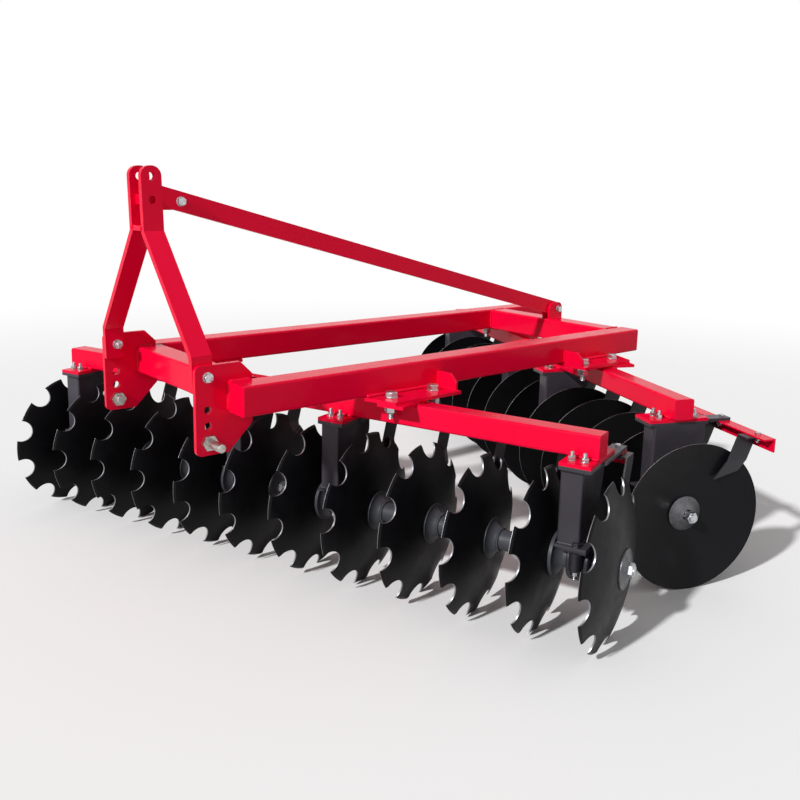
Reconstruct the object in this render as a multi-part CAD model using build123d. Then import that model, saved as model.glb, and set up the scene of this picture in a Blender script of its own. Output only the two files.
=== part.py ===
"""Mounted offset disc harrow with 24 discs, for a tractor's three-point hitch.

A welded rectangular frame hangs from two hitch plates and an A-shaped mast with a stay.
Under it two rows of discs stand at opposite angles: notched discs in front, plain discs
behind. Each row is two gangs of six discs, clamped between spools on a square axle. An
axle turns in two bearing housings, and each housing is bolted under a leg that hangs
from the row's gang beam. Scrapers on an angle bar keep the hollow faces clean.

Millimetres. Z is up from the ground that the discs stand on, Y runs backwards and X to
the harrow's left. The model is built from the lower hitch holes and then centred.
"""
from build123d import *
import math
import os

# Discs
DISC_DIAMETER = 560
DISC_THICKNESS = 5
DISC_FLAT_RADIUS = 70
DISC_SPHERE_RADIUS = 765
DISC_BEVEL = 7
DISC_EDGE = 1.5
DISC_PITCH = 230
DISCS_IN_ROW = 12
NOTCH_COUNT = 10
NOTCH_RADIUS = 44
NOTCH_CENTRE_RADIUS = 272

# Axles, spools and bearings
AXLE_SQUARE = 30
AXLE_HOLE_CLEARANCE = 0.5
NUT_CHAMFER = 2
WASHER_DIAMETER = 132
WASHER_RIM = 5
WASHER_HUB_MARGIN = 5
SPOOL_BORE = 46
SPOOL_TUBE_DIAMETER = 70
SPOOL_BELL_DIAMETER = 142
SPOOL_BELL_RIM = 5
SPOOL_BELL_LENGTH = 30
SPOOL_NECK_DIAMETER = 82
SPOOL_NECK_LENGTH = 6
SPOOL_FOOT_DIAMETER = 100
SPOOL_FOOT_LENGTH = 26
BEARING_FLANGE_DIAMETER = 158
BEARING_FLANGE_RIM = 12
BEARING_FLANGE_LENGTH = 38
JOURNAL_DIAMETER = 60
JOURNAL_CLEARANCE = 0.05
SHOULDER_DIAMETER = 80
SHOULDER_LENGTH = 14
SHOULDER_GAP = 0.9
HOUSING_DIAMETER = 140
HOUSING_LENGTH = 74
HOUSING_CHAMFER = 4
HOUSING_FLANGE_Z = 62
HOUSING_FLANGE_THICKNESS = 8
HOUSING_BOSS_DIAMETER = 30
HOUSING_BOSS_BOTTOM_Z = -10
HOUSING_BOLT_SPACING = 162
HOUSING_BOLT_HOLE = 17

# Legs
LEG_WIDTH = 76
LEG_HEIGHT = 246
LEG_WALL = 8
LEG_STRAIGHT = 56
LEG_REAR_TOP = 110
LEG_REAR_BOTTOM = 45
LEG_FOOT_THICKNESS = 8
LEG_FOOT_LIP = 20
LEG_FOOT_REAR = 95
SEAT_WIDTH = 105
SEAT_LIP = 20
SEAT_REAR = 120
SEAT_THICKNESS = 12
SEAT_BOLT_HOLE = 15
SEAT_BOLT_TO_TUBE = 35
SEAT_BOLTS_X = [-9, 32]
HOUSING_X = 31
TONGUE_WIDTH = 50

# Gang beams and the clamps that hold them under the frame
GANG_TUBE = 80
CLAMP_PLATE_THICKNESS = 12
CLAMP_BOLT_SPACING = 194
CLAMP_BOLT_HOLE = 22
CLAMP_BOLT_OUT = 45
CLAMP_BOLT_SETBACK = 26
CLAMP_SLANT_REACH = 127
CLAMP_PLATE_OUT = 116
CLAMP_SQUARE_END = 198
CLAMP_LOWER_WIDTH = 104
CLAMP_LOWER_MARGIN = 32
GUSSET_THICKNESS = 10
GUSSET_HEIGHT = 56
GUSSET_TOP_WIDTH = 65
GUSSET_BASE_WIDTH = 96

# Frame
FRAME_TUBE = 100
TUBE_CORNER = 9
FRAME_WIDTH = 930
FRAME_FRONT_Y = 71
LEFT_BEAM_LENGTH = 2056
RIGHT_BEAM_LENGTH = 2349
FRONT_CROSS_SETBACK = 14
REAR_CROSS_SETBACK = 17

# Hitch plates and lower pins
HITCH_PLATE_THICKNESS = 16
HITCH_PLATE_FRONT = 42
HITCH_PLATE_REAR = 158
HITCH_PLATE_ABOVE = 59
HITCH_PLATE_BELOW = 131
HITCH_TOP_CHAMFER = 42
HITCH_BOTTOM_CHAMFER = 87
HITCH_CORNER_RADIUS = 20
HITCH_HOLE = 26
MAST_BOLT_ABOVE_PIN = 209
SPARE_HOLE_SPACING = 52
PIN_ABOVE_PLATE_END = 43
PIN_DIAMETER = 28
PIN_LENGTH = 74
PIN_STUD_CLEARANCE = 0.1
PIN_COLLAR_FLATS = 46
PIN_COLLAR_LENGTH = 15
PIN_NUT_LENGTH = 22
PIN_CHAMFER = 3

# Mast
MAST_FLAT_WIDTH = 70
MAST_FLAT_THICKNESS = 20
MAST_GAP = 70
MAST_FOOT_BELOW_BOLT = 50
MAST_LOWER_BEND_ABOVE_BOLT = 66
MAST_UPPER_BEND_ABOVE_BOLT = 435
MAST_TOP_LINK_ABOVE_BOLT = 610
MAST_STAY_HOLE_BELOW_TOP_LINK = 75
MAST_TOP_ABOVE_TOP_LINK = 34
MAST_SETBACK = -8
MAST_LEAN = 1.3
MAST_SPACER_THICKNESS = 16
ROUND_END_FLAT = 2

# Stay
STAY_HEIGHT = 66
STAY_THICKNESS = 20
STAY_FRONT_Y = 24
STAY_EAR_THICKNESS = 16
STAY_EAR_BOLT_Y = 100
STAY_EAR_BLOCK = 34
STAY_BOLT_BELOW_HOLE = 6
STAY_END_MARGIN = 4
STAY_BOLT_HOLE = 22
BRACKET_THICKNESS = 12
BRACKET_SIDE_GAP = 1
BRACKET_BOLT_HEIGHT = 46
BRACKET_BOLT_SETBACK = 20
BRACKET_TOP_RADIUS = 34
BRACKET_BASE_LENGTH = 92
BRACKET_BASE_SETBACK = 4

# Scrapers
ANGLE_FLANGE = 50
ANGLE_THICKNESS = 6
ANGLE_REAR_N = 240
ANGLE_BOLT_N = 218
ANGLE_END_MARGINS = {1: 12, -1: 68}
SCRAPER_WIDTH = 75
SCRAPER_LEAN = 20.5
SCRAPER_TOP_N = 161
SCRAPER_THICKNESS = 6
SCRAPER_CLEARANCE = 7
SCRAPER_TO_ANGLE = 1
SCRAPER_TAB = 46
SCRAPER_BOLT_OUT = 32
SCRAPER_BEND_Z = 212
SCRAPER_TIP_Z = 132
SCRAPER_TIP_CUT = 33
SCRAPER_REACH = 31
SCRAPER_BOLT_HOLE = 12

# Heights, worked out from the ground up
AXLE_Z = DISC_DIAMETER / 2
FOOT_BOTTOM_Z = AXLE_Z + HOUSING_FLANGE_Z
LEG_BOTTOM_Z = FOOT_BOTTOM_Z + LEG_FOOT_THICKNESS
LEG_TOP_Z = LEG_BOTTOM_Z + LEG_HEIGHT
SEAT_BOTTOM_Z = LEG_TOP_Z + SEAT_THICKNESS
GANG_TUBE_BOTTOM_Z = SEAT_BOTTOM_Z + SEAT_THICKNESS
GANG_TUBE_TOP_Z = GANG_TUBE_BOTTOM_Z + GANG_TUBE
CLAMP_FACE_Z = GANG_TUBE_TOP_Z + CLAMP_PLATE_THICKNESS
FRAME_BOTTOM_Z = CLAMP_FACE_Z + CLAMP_PLATE_THICKNESS
FRAME_TOP_Z = FRAME_BOTTOM_Z + FRAME_TUBE
PIN_Z = FRAME_BOTTOM_Z - HITCH_PLATE_BELOW + PIN_ABOVE_PLATE_END
MAST_BOLT_Z = PIN_Z + MAST_BOLT_ABOVE_PIN
SPARE_HOLES_Z = [PIN_Z + SPARE_HOLE_SPACING, PIN_Z + 2 * SPARE_HOLE_SPACING]

# Widths, worked out from the frame's outer faces inwards
FRAME_X = FRAME_WIDTH / 2
BEAM_INNER_X = FRAME_X - FRAME_TUBE
PLATE_INNER_X = BEAM_INNER_X - HITCH_PLATE_THICKNESS
CLAMP_X = FRAME_X + CLAMP_BOLT_OUT

# Rows of discs. Columns: name, side that the discs bulge to (1 left, -1 right), middle of
# the row in X and Y, angle of its axis from X, gang beam behind the axis.
ROWS = [
    ("front", 1, 45, 512, 18.9, 20),
    ("rear", -1, 24, 2014, -23.8, 4),
]

# Legs of a row. Columns: shift from the middles of their gaps, front face before the beam's
# middle, tongue beside the leg's middle, gang beam past the outer legs at both ends.
LEGS = {
    "front": (4, 95, 53, 66),
    "rear": (-45, 109, 9, 55),
}
LEG_GAPS = [0, 4, 6, 10]

# Gangs of notched discs: how far the axle has turned, and each disc's quarter turns on it.
# A square axle takes a disc in four ways, and a quarter turn moves ten notches by half one.
NOTCHED_GANGS = {
    "front_right": (17.7, [1, 0, 0, 0, 1, 1]),
    "front_left": (10.5, [1, 0, 1, 0, 0, 1]),
}

# Ends of a gang. Columns: side (-1 the hollow side of the discs, 1 their bulge), washer's
# thickness, nut across flats, nut's length, stub beyond the nut.
GANG_ENDS = [
    (-1, 30, 38, 28, 7),
    (1, 16, 43, 14, 3),
]

# Frame beams. Columns: name, side, length.
BEAMS = [("left", 1, LEFT_BEAM_LENGTH), ("right", -1, RIGHT_BEAM_LENGTH)]


def sphere_depth(radius, sphere=DISC_SPHERE_RADIUS):
    """Depth of a ball's surface below the disc's rim plane, at a radius from its axis."""
    rim = math.sqrt(DISC_SPHERE_RADIUS ** 2 - (DISC_DIAMETER / 2) ** 2)
    return math.sqrt(sphere ** 2 - radius ** 2) - rim


DISH_DEPTH = sphere_depth(DISC_FLAT_RADIUS)
HUB_DEPTH = sphere_depth(DISC_FLAT_RADIUS, DISC_SPHERE_RADIUS + DISC_THICKNESS)
SPOOL_LENGTH = DISC_PITCH - (HUB_DEPTH - DISH_DEPTH)


def rim_plane(index):
    """Place of a disc's rim along its row."""
    return (index - (DISCS_IN_ROW - 1) / 2) * DISC_PITCH


def block(x0, x1, y0, y1, z0, z1):
    """Box between two corners."""
    middle = ((x0 + x1) / 2, (y0 + y1) / 2, (z0 + z1) / 2)
    return Pos(*middle) * Box(abs(x1 - x0), abs(y1 - y0), abs(z1 - z0))


def upright_hole(x, y, z0, z1, diameter):
    """Drill for a bolt hole along Z."""
    return Pos(x, y, (z0 + z1) / 2) * Cylinder(diameter / 2, abs(z1 - z0) + 2)


def cross_rod(x0, x1, y, z, diameter):
    """Round bar along X."""
    rod = Rot(0, 90, 0) * Cylinder(diameter / 2, abs(x1 - x0))
    return Pos((x0 + x1) / 2, y, z) * rod


def hexagon_x(x0, x1, y, z, flats):
    """Hexagonal bar along X."""
    face = Plane.YZ * RegularPolygon(flats / 2, 6, major_radius=False)
    return Pos(min(x0, x1), y, z) * extrude(face, abs(x1 - x0), dir=(1, 0, 0))


def turned(points):
    """Body turned about the X axis from a closed outline of (x, radius) points."""
    return revolve(make_face(Polyline(*points, close=True)), Axis.X)


def square_tube(x0, x1, y0, y1, z0, z1, axis):
    """Closed square tube with rounded long edges, as one solid."""
    bar = block(x0, x1, y0, y1, z0, z1)
    return fillet(bar.edges().filter_by(axis), TUBE_CORNER)


def row_frame(middle_x, middle_y, angle):
    """Place of a row: X along its axis, Y behind it, Z from the ground."""
    return Pos(middle_x, middle_y, 0) * Rot(0, 0, angle)


def to_row(x, y, middle_x, middle_y, slope):
    """Place of a point along a row's axis and behind it."""
    dx, dy = x - middle_x, y - middle_y
    return dx * math.cos(slope) + dy * math.sin(slope), dy * math.cos(slope) - dx * math.sin(slope)


def disc(notched):
    """Dished disc with its rim plane at X = 0, bulging to +X, with a bevelled edge."""
    radius = DISC_DIAMETER / 2
    outer_sphere = DISC_SPHERE_RADIUS + DISC_THICKNESS
    middle = (DISC_FLAT_RADIUS + radius) / 2
    bevel_start = radius - DISC_BEVEL
    hollow = ThreePointArc((DISH_DEPTH, DISC_FLAT_RADIUS), (sphere_depth(middle), middle), (0, radius))
    bulge = ThreePointArc((sphere_depth(bevel_start, outer_sphere), bevel_start),
                          (sphere_depth(middle, outer_sphere), middle),
                          (HUB_DEPTH, DISC_FLAT_RADIUS))
    outline = [
        Line((DISH_DEPTH, 0), (DISH_DEPTH, DISC_FLAT_RADIUS)),
        hollow,
        Line((0, radius), (DISC_EDGE, radius)),
        Line((DISC_EDGE, radius), bulge @ 0),
        bulge,
        Line((HUB_DEPTH, DISC_FLAT_RADIUS), (HUB_DEPTH, 0)),
        Line((HUB_DEPTH, 0), (DISH_DEPTH, 0)),
    ]
    plate = revolve(make_face(Wire(outline)), Axis.X)
    side = AXLE_SQUARE + 2 * AXLE_HOLE_CLEARANCE
    plate -= Pos(DISH_DEPTH, 0, 0) * Box(4 * DISC_THICKNESS, side, side)
    if notched:
        drill = Rot(0, 90, 0) * Cylinder(NOTCH_RADIUS, 4 * DISH_DEPTH)
        for step in range(NOTCH_COUNT):
            turn = (step + 0.5) * 360 / NOTCH_COUNT
            plate -= Rot(turn, 0, 0) * Pos(0, NOTCH_CENTRE_RADIUS, 0) * drill
    return plate


def spool():
    """Spacer between two discs: a thin bell, a weld ring, a tube and a foot, bored through."""
    bell, neck = SPOOL_BELL_DIAMETER / 2, SPOOL_NECK_DIAMETER / 2
    tube, foot = SPOOL_TUBE_DIAMETER / 2, SPOOL_FOOT_DIAMETER / 2
    bore = SPOOL_BORE / 2
    rim, bell_end = SPOOL_BELL_RIM, SPOOL_BELL_LENGTH
    neck_end = bell_end + SPOOL_NECK_LENGTH
    foot_start = SPOOL_LENGTH - SPOOL_FOOT_LENGTH
    foot_rim = SPOOL_LENGTH - SPOOL_BELL_RIM
    # The bell's flare runs as an arc that sags a third of the way to its inner corner.
    sag = (rim + (bell_end - rim) / 3, neck + (bell - neck) / 3)
    flare = ThreePointArc((rim, bell), sag, (bell_end, neck))
    rest = Polyline((bell_end, neck), (neck_end, tube), (foot_start, tube), (foot_rim, foot),
                    (SPOOL_LENGTH, foot), (SPOOL_LENGTH, bore), (0, bore), (0, bell), (rim, bell))
    return revolve(make_face(Wire([flare] + rest.edges())), Axis.X)


def bearing_spool(bearing):
    """Spool that runs in a housing: a wide flared flange, and a journal between shoulders."""
    flange, shoulder = BEARING_FLANGE_DIAMETER / 2, SHOULDER_DIAMETER / 2
    journal, tube, foot = JOURNAL_DIAMETER / 2, SPOOL_TUBE_DIAMETER / 2, SPOOL_FOOT_DIAMETER / 2
    half = HOUSING_LENGTH / 2 + SHOULDER_GAP
    start, end = bearing - half, bearing + half
    foot_start = SPOOL_LENGTH - SPOOL_FOOT_LENGTH
    foot_rim = SPOOL_LENGTH - SPOOL_BELL_RIM
    bore = SPOOL_BORE / 2
    rim, flare_end = BEARING_FLANGE_RIM, BEARING_FLANGE_LENGTH
    sag = (rim + (flare_end - rim) / 3, shoulder + (flange - shoulder) / 3)
    flare = ThreePointArc((rim, flange), sag, (flare_end, shoulder))
    rest = Polyline((flare_end, shoulder), (start, shoulder), (start, journal), (end, journal),
                    (end, shoulder), (end + SHOULDER_LENGTH, shoulder), (end + SHOULDER_LENGTH, tube),
                    (foot_start, tube), (foot_rim, foot), (SPOOL_LENGTH, foot), (SPOOL_LENGTH, bore),
                    (0, bore), (0, flange), (rim, flange))
    return revolve(make_face(Wire([flare] + rest.edges())), Axis.X)


def end_washer(x, side, thickness, flats):
    """Conical washer against a disc's flat, with its cone to the side given."""
    radius, hub = WASHER_DIAMETER / 2, flats / math.sqrt(3) + WASHER_HUB_MARGIN
    half_hole = AXLE_SQUARE * math.sqrt(2) / 2 + AXLE_HOLE_CLEARANCE
    points = [(0, half_hole), (0, radius), (WASHER_RIM, radius), (thickness, hub), (thickness, half_hole)]
    return Pos(x, 0, 0) * turned([(side * along, r) for along, r in points])


def axle(faces):
    """Square axle between the washers' outer faces, with a nut and a stub at each end."""
    half = AXLE_SQUARE / 2
    bar = block(*faces, -half, half, -half, half)
    for x, (side, _, flats, length, stub) in zip(faces, GANG_ENDS):
        nut = hexagon_x(x, x + side * length, 0, 0, flats)
        corner = flats / math.sqrt(3)
        cone = turned([(0, 0), (0, corner), (length - NUT_CHAMFER, corner),
                       (length, corner - 2 * NUT_CHAMFER), (length, 0)])
        if side < 0:
            cone = mirror(cone, Plane.YZ)
        bar += nut & (Pos(x, 0, 0) * cone)
        bar += cross_rod(x, x + side * (length + stub), 0, 0, AXLE_SQUARE)
    return bar


def gang(first, turn, quarters, bearings):
    """One gang in its row's frame, bulging to +X: its discs, its spools and its axle.

    quarters gives each disc's quarter turns on the axle, or None for plain discs. bearings
    gives, for a gap's index, how far past the hub its housing's middle is."""
    count = DISCS_IN_ROW // 2
    last = first + count - 1
    discs = []
    for step in range(count):
        shape = Rot(90 * quarters[step], 0, 0) * disc(True) if quarters else disc(False)
        discs.append(Pos(rim_plane(first + step), 0, 0) * Rot(turn, 0, 0) * shape)
    spools = []
    for gap in range(first, last):
        shape = bearing_spool(bearings[gap]) if gap in bearings else spool()
        spools.append(Pos(rim_plane(gap) + HUB_DEPTH, 0, 0) * shape)
    flats = (rim_plane(first) + DISH_DEPTH, rim_plane(last) + HUB_DEPTH)
    washers = []
    faces = []
    for x, (side, thickness, across, _, _) in zip(flats, GANG_ENDS):
        washers.append(end_washer(x, side, thickness, across))
        faces.append(x + side * thickness)
    return discs, spools, Rot(turn, 0, 0) * axle(faces), washers


def leg(beam_n, side, face_to_beam, tongue_x):
    """Channel leg under its seat: a face plate with two tapering sides, closed by a flange
    above and by the housing's foot below. Flange and foot stand out to the side that the
    discs bulge to, and a tongue behind carries the scraper bar."""
    face = beam_n - face_to_beam
    rear_top, rear_bottom = beam_n + LEG_REAR_TOP, beam_n + LEG_REAR_BOTTOM
    taper_z = LEG_TOP_Z - LEG_STRAIGHT
    half = LEG_WIDTH / 2
    outline = Polyline((face, LEG_BOTTOM_Z), (face, LEG_TOP_Z), (rear_top, LEG_TOP_Z),
                       (rear_top, taper_z), (rear_bottom, LEG_BOTTOM_Z), close=True)
    wall = extrude(Plane.YZ * make_face(outline), half, both=True)
    shell = fillet(wall.edges().filter_by(Axis.Z).sort_by(Axis.Y)[:2], LEG_WALL)
    inside = block(-half + LEG_WALL, half - LEG_WALL, face + LEG_WALL, rear_top + 1,
                   LEG_BOTTOM_Z - 1, LEG_TOP_Z + 1)
    shape = shell - inside
    near, far = -side * half, side * (SEAT_WIDTH - half)
    tongue = side * tongue_x
    shape += block(near, far, face - SEAT_LIP, beam_n + SEAT_REAR, LEG_TOP_Z, SEAT_BOTTOM_Z)
    shape += block(tongue - TONGUE_WIDTH / 2, tongue + TONGUE_WIDTH / 2, beam_n, ANGLE_REAR_N,
                   LEG_TOP_Z, SEAT_BOTTOM_Z)
    shape += block(near, far, face - LEG_FOOT_LIP, LEG_FOOT_REAR, FOOT_BOTTOM_Z, LEG_BOTTOM_Z)
    for x, y in seat_bolts(beam_n, side):
        shape -= upright_hole(x, y, LEG_TOP_Z, SEAT_BOTTOM_Z, SEAT_BOLT_HOLE)
    for y in (-HOUSING_BOLT_SPACING / 2, HOUSING_BOLT_SPACING / 2):
        shape -= upright_hole(side * HOUSING_X, y, FOOT_BOTTOM_Z, LEG_BOTTOM_Z, HOUSING_BOLT_HOLE)
    shape -= upright_hole(tongue, ANGLE_BOLT_N, LEG_TOP_Z, SEAT_BOTTOM_Z, SCRAPER_BOLT_HOLE)
    return shape


def seat_bolts(beam_n, side):
    """Places of the four bolts through a seat plate and a leg's flange, beside the tube."""
    reach = GANG_TUBE / 2 + SEAT_BOLT_TO_TUBE
    return [(side * x, beam_n + y) for x in SEAT_BOLTS_X for y in (-reach, reach)]


def housing():
    """Barrel housing round a journal: flat on top, with an upright boss for each bolt."""
    half, reach = HOUSING_LENGTH / 2, HOUSING_BOLT_SPACING / 2
    radius = HOUSING_DIAMETER / 2
    barrel = cross_rod(-half, half, 0, 0, HOUSING_DIAMETER)
    barrel = chamfer(barrel.edges().filter_by(GeomType.CIRCLE), HOUSING_CHAMFER)
    body = barrel & block(-half, half, -radius, radius, -radius, HOUSING_FLANGE_Z)
    flange_end = reach + HOUSING_BOSS_DIAMETER / 2
    body += block(-half, half, -flange_end, flange_end, HOUSING_FLANGE_Z - HOUSING_FLANGE_THICKNESS,
                  HOUSING_FLANGE_Z)
    boss_middle = (HOUSING_BOSS_BOTTOM_Z + HOUSING_FLANGE_Z) / 2
    boss_length = HOUSING_FLANGE_Z - HOUSING_BOSS_BOTTOM_Z
    for y in (-reach, reach):
        body += Pos(0, y, boss_middle) * Cylinder(HOUSING_BOSS_DIAMETER / 2, boss_length)
    body -= cross_rod(-half - 1, half + 1, 0, 0, JOURNAL_DIAMETER + 2 * JOURNAL_CLEARANCE)
    for y in (-reach, reach):
        body -= upright_hole(0, y, HOUSING_BOSS_BOTTOM_Z, HOUSING_FLANGE_Z, HOUSING_BOLT_HOLE)
    return Pos(0, 0, AXLE_Z) * body


def gang_beam(beam_n, leg_places, overhang):
    """Closed square tube along a row, a little longer than its legs reach."""
    half = GANG_TUBE / 2
    return square_tube(min(leg_places) - overhang, max(leg_places) + overhang, beam_n - half,
                       beam_n + half, GANG_TUBE_BOTTOM_Z, GANG_TUBE_TOP_Z, Axis.X)


def seat_plate(place, side, beam_n, face_to_beam):
    """Plate welded under the gang beam, over a leg's flange."""
    near, far = place - side * LEG_WIDTH / 2, place + side * (SEAT_WIDTH - LEG_WIDTH / 2)
    plate = block(near, far, beam_n - face_to_beam - SEAT_LIP, beam_n + SEAT_REAR,
                  SEAT_BOTTOM_Z, GANG_TUBE_BOTTOM_Z)
    for x, y in seat_bolts(beam_n, side):
        plate -= upright_hole(place + x, y, SEAT_BOTTOM_Z, GANG_TUBE_BOTTOM_Z, SEAT_BOLT_HOLE)
    return plate


def lower_clamp_plate(bolts, beam_n, side):
    """Plate welded on the gang beam, under a frame beam's clamp plate."""
    middle = sum(x for x, _ in bolts) / len(bolts)
    half = CLAMP_LOWER_WIDTH / 2
    slant_n = beam_n - side * CLAMP_SLANT_REACH
    square_n = max((y for _, y in bolts), key=lambda y: abs(y - slant_n)) + side * CLAMP_LOWER_MARGIN
    plate = block(middle - half, middle + half, slant_n, square_n, GANG_TUBE_TOP_Z, CLAMP_FACE_Z)
    for x, y in bolts:
        plate -= upright_hole(x, y, GANG_TUBE_TOP_Z, CLAMP_FACE_Z, CLAMP_BOLT_HOLE)
    return plate


def clamp(side, along_beam, beam_point, square_side):
    """Plate welded under a frame beam, with a gusset at its square end.

    beam_point is where the gang beam's middle line crosses the line of bolts, and along_beam
    its slope. The other end of the plate runs parallel to the gang beam."""
    x_in, x_out = side * BEAM_INNER_X, side * (FRAME_X + CLAMP_PLATE_OUT)
    x0, y0 = beam_point
    slant = -square_side * CLAMP_SLANT_REACH / math.cos(along_beam)
    square_y = y0 + square_side * CLAMP_SQUARE_END
    corners = [(x, y0 + (x - x0) * math.tan(along_beam) + slant) for x in (x_in, x_out)]
    plate = extrude(make_face(Polyline(*corners, (x_out, square_y), (x_in, square_y), close=True)),
                    CLAMP_PLATE_THICKNESS)
    plate = Pos(0, 0, CLAMP_FACE_Z) * plate
    for x, y in clamp_bolts(beam_point, square_side):
        plate -= upright_hole(x, y, CLAMP_FACE_Z, FRAME_BOTTOM_Z, CLAMP_BOLT_HOLE)
    z0 = FRAME_BOTTOM_Z
    top_x, base_x = FRAME_X + GUSSET_TOP_WIDTH, FRAME_X + GUSSET_BASE_WIDTH
    outline = Polyline((FRAME_X, z0), (FRAME_X, z0 + GUSSET_HEIGHT), (top_x, z0 + GUSSET_HEIGHT),
                       (base_x, z0 + GUSSET_HEIGHT / 2), (base_x, z0), close=True)
    gusset = extrude(Plane.XZ * make_face(outline), GUSSET_THICKNESS / 2, both=True)
    if side < 0:
        gusset = mirror(gusset, Plane.YZ)
    return plate + Pos(0, square_y - square_side * GUSSET_THICKNESS / 2, 0) * gusset


def clamp_bolts(beam_point, square_side):
    """Places of a clamp's two bolts, on a line along the frame beam."""
    x0, y0 = beam_point
    middle = y0 + square_side * CLAMP_BOLT_SETBACK
    return [(x0, middle + step * CLAMP_BOLT_SPACING / 2) for step in (-1, 1)]


def hitch_plate(side):
    """Plate with rounded front corners, cut rear corners and four holes in a line."""
    top, bottom = FRAME_TOP_Z + HITCH_PLATE_ABOVE, FRAME_BOTTOM_Z - HITCH_PLATE_BELOW
    front, rear = -HITCH_PLATE_FRONT, HITCH_PLATE_REAR
    outline = Polyline((front, bottom), (front, top), (rear - HITCH_TOP_CHAMFER, top),
                       (rear, top - HITCH_TOP_CHAMFER), (rear, bottom + HITCH_BOTTOM_CHAMFER),
                       (rear - HITCH_BOTTOM_CHAMFER, bottom), close=True)
    plate = extrude(Plane.YZ * make_face(outline), HITCH_PLATE_THICKNESS)
    plate = fillet(plate.edges().filter_by(Axis.X).sort_by(Axis.Y)[:2], HITCH_CORNER_RADIUS)
    plate = Pos(PLATE_INNER_X, 0, 0) * plate
    for z in [PIN_Z, MAST_BOLT_Z] + SPARE_HOLES_Z:
        plate -= cross_rod(PLATE_INNER_X - 1, BEAM_INNER_X + 1, 0, z, HITCH_HOLE)
    return plate if side > 0 else mirror(plate, Plane.YZ)


def hitch_pin(side):
    """Lower hitch pin: a hexagonal collar outside the plate, a pin, a stud and a nut inside."""
    collar_end = BEAM_INNER_X + PIN_COLLAR_LENGTH
    stud = HITCH_HOLE - 2 * PIN_STUD_CLEARANCE
    nut_end = PLATE_INNER_X - PIN_NUT_LENGTH
    pin = cross_rod(collar_end, collar_end + PIN_LENGTH, 0, PIN_Z, PIN_DIAMETER)
    pin = chamfer(pin.edges().sort_by(Axis.X)[-1], PIN_CHAMFER)
    pin += hexagon_x(BEAM_INNER_X, collar_end, 0, PIN_Z, PIN_COLLAR_FLATS)
    pin += cross_rod(nut_end - PIN_CHAMFER, BEAM_INNER_X + 1, 0, PIN_Z, stud)
    pin += hexagon_x(nut_end, PLATE_INNER_X, 0, PIN_Z, PIN_COLLAR_FLATS)
    return pin if side > 0 else mirror(pin, Plane.YZ)


def on_mast(shape):
    """Place of a mast piece that was made upright over the mast bolt."""
    return Pos(0, MAST_SETBACK, MAST_BOLT_Z) * Rot(MAST_LEAN, 0, 0) * shape


def mast_leg(side):
    """Flat bar inside the hitch plate, bent inwards and cut off level at its upper bend."""
    foot, low, high = -MAST_FOOT_BELOW_BOLT, MAST_LOWER_BEND_ABOVE_BOLT, MAST_UPPER_BEND_ABOVE_BOLT
    cheek_outer, cheek_inner = MAST_GAP / 2 + MAST_FLAT_THICKNESS, MAST_GAP / 2
    foot_inner = PLATE_INNER_X - MAST_FLAT_THICKNESS
    lean = math.atan2(PLATE_INNER_X - cheek_outer, high - low)
    drop = MAST_FLAT_THICKNESS * math.tan(lean / 2)
    outline = Polyline((PLATE_INNER_X, foot), (PLATE_INNER_X, low), (cheek_outer, high),
                       (cheek_inner, high), (cheek_inner, high - drop), (foot_inner, low - drop),
                       (foot_inner, foot), close=True)
    flat = extrude(Plane.XZ * make_face(outline), MAST_FLAT_WIDTH / 2, both=True)
    flat -= cross_rod(0, 2 * PLATE_INNER_X, -MAST_SETBACK, 0, HITCH_HOLE)
    flat = on_mast(flat)
    return flat if side > 0 else mirror(flat, Plane.YZ)


def mast_cheek(side):
    """Upright flat welded on a mast leg's upper bend, with a round top and two holes."""
    top = MAST_TOP_LINK_ABOVE_BOLT + MAST_TOP_ABOVE_TOP_LINK
    half = MAST_FLAT_WIDTH / 2
    flat = block(MAST_GAP / 2, MAST_GAP / 2 + MAST_FLAT_THICKNESS, -half, half,
                 MAST_UPPER_BEND_ABOVE_BOLT, top)
    flat = fillet(flat.edges().filter_by(Axis.X).sort_by(Axis.Z)[-2:], half - ROUND_END_FLAT)
    for z in (MAST_TOP_LINK_ABOVE_BOLT, MAST_TOP_LINK_ABOVE_BOLT - MAST_STAY_HOLE_BELOW_TOP_LINK):
        flat -= cross_rod(0, MAST_GAP, 0, z, HITCH_HOLE)
    flat = on_mast(flat)
    return flat if side > 0 else mirror(flat, Plane.YZ)


def stay_line():
    """Ends of the stay's middle line in Y and Z: its front bolt and its rear bolt."""
    hole_z = MAST_TOP_LINK_ABOVE_BOLT - MAST_STAY_HOLE_BELOW_TOP_LINK
    front = (STAY_EAR_BOLT_Y, MAST_BOLT_Z + hole_z - STAY_BOLT_BELOW_HOLE)
    rear_cross_middle = FRAME_FRONT_Y + LEFT_BEAM_LENGTH - REAR_CROSS_SETBACK - FRAME_TUBE / 2
    rear = (rear_cross_middle + BRACKET_BOLT_SETBACK, FRAME_TOP_Z + BRACKET_BOLT_HEIGHT)
    return front, rear


def stay_bar():
    """Flat bar from the mast down to the bracket on the rear cross beam."""
    front, rear = stay_line()
    slope = math.atan2(rear[1] - front[1], rear[0] - front[0])
    length = math.dist(front, rear)
    before = (STAY_EAR_BOLT_Y - STAY_FRONT_Y) / math.cos(slope)
    after = BRACKET_TOP_RADIUS - STAY_END_MARGIN
    half_t, half_h = STAY_THICKNESS / 2, STAY_HEIGHT / 2
    bar = block(-half_t, half_t, -before, length + after, -half_h, half_h)
    for y in (0, length):
        bar -= cross_rod(-STAY_THICKNESS, STAY_THICKNESS, y, 0, STAY_BOLT_HOLE)
    return Pos(0, front[0], front[1]) * Rot(math.degrees(slope), 0, 0) * bar


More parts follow.
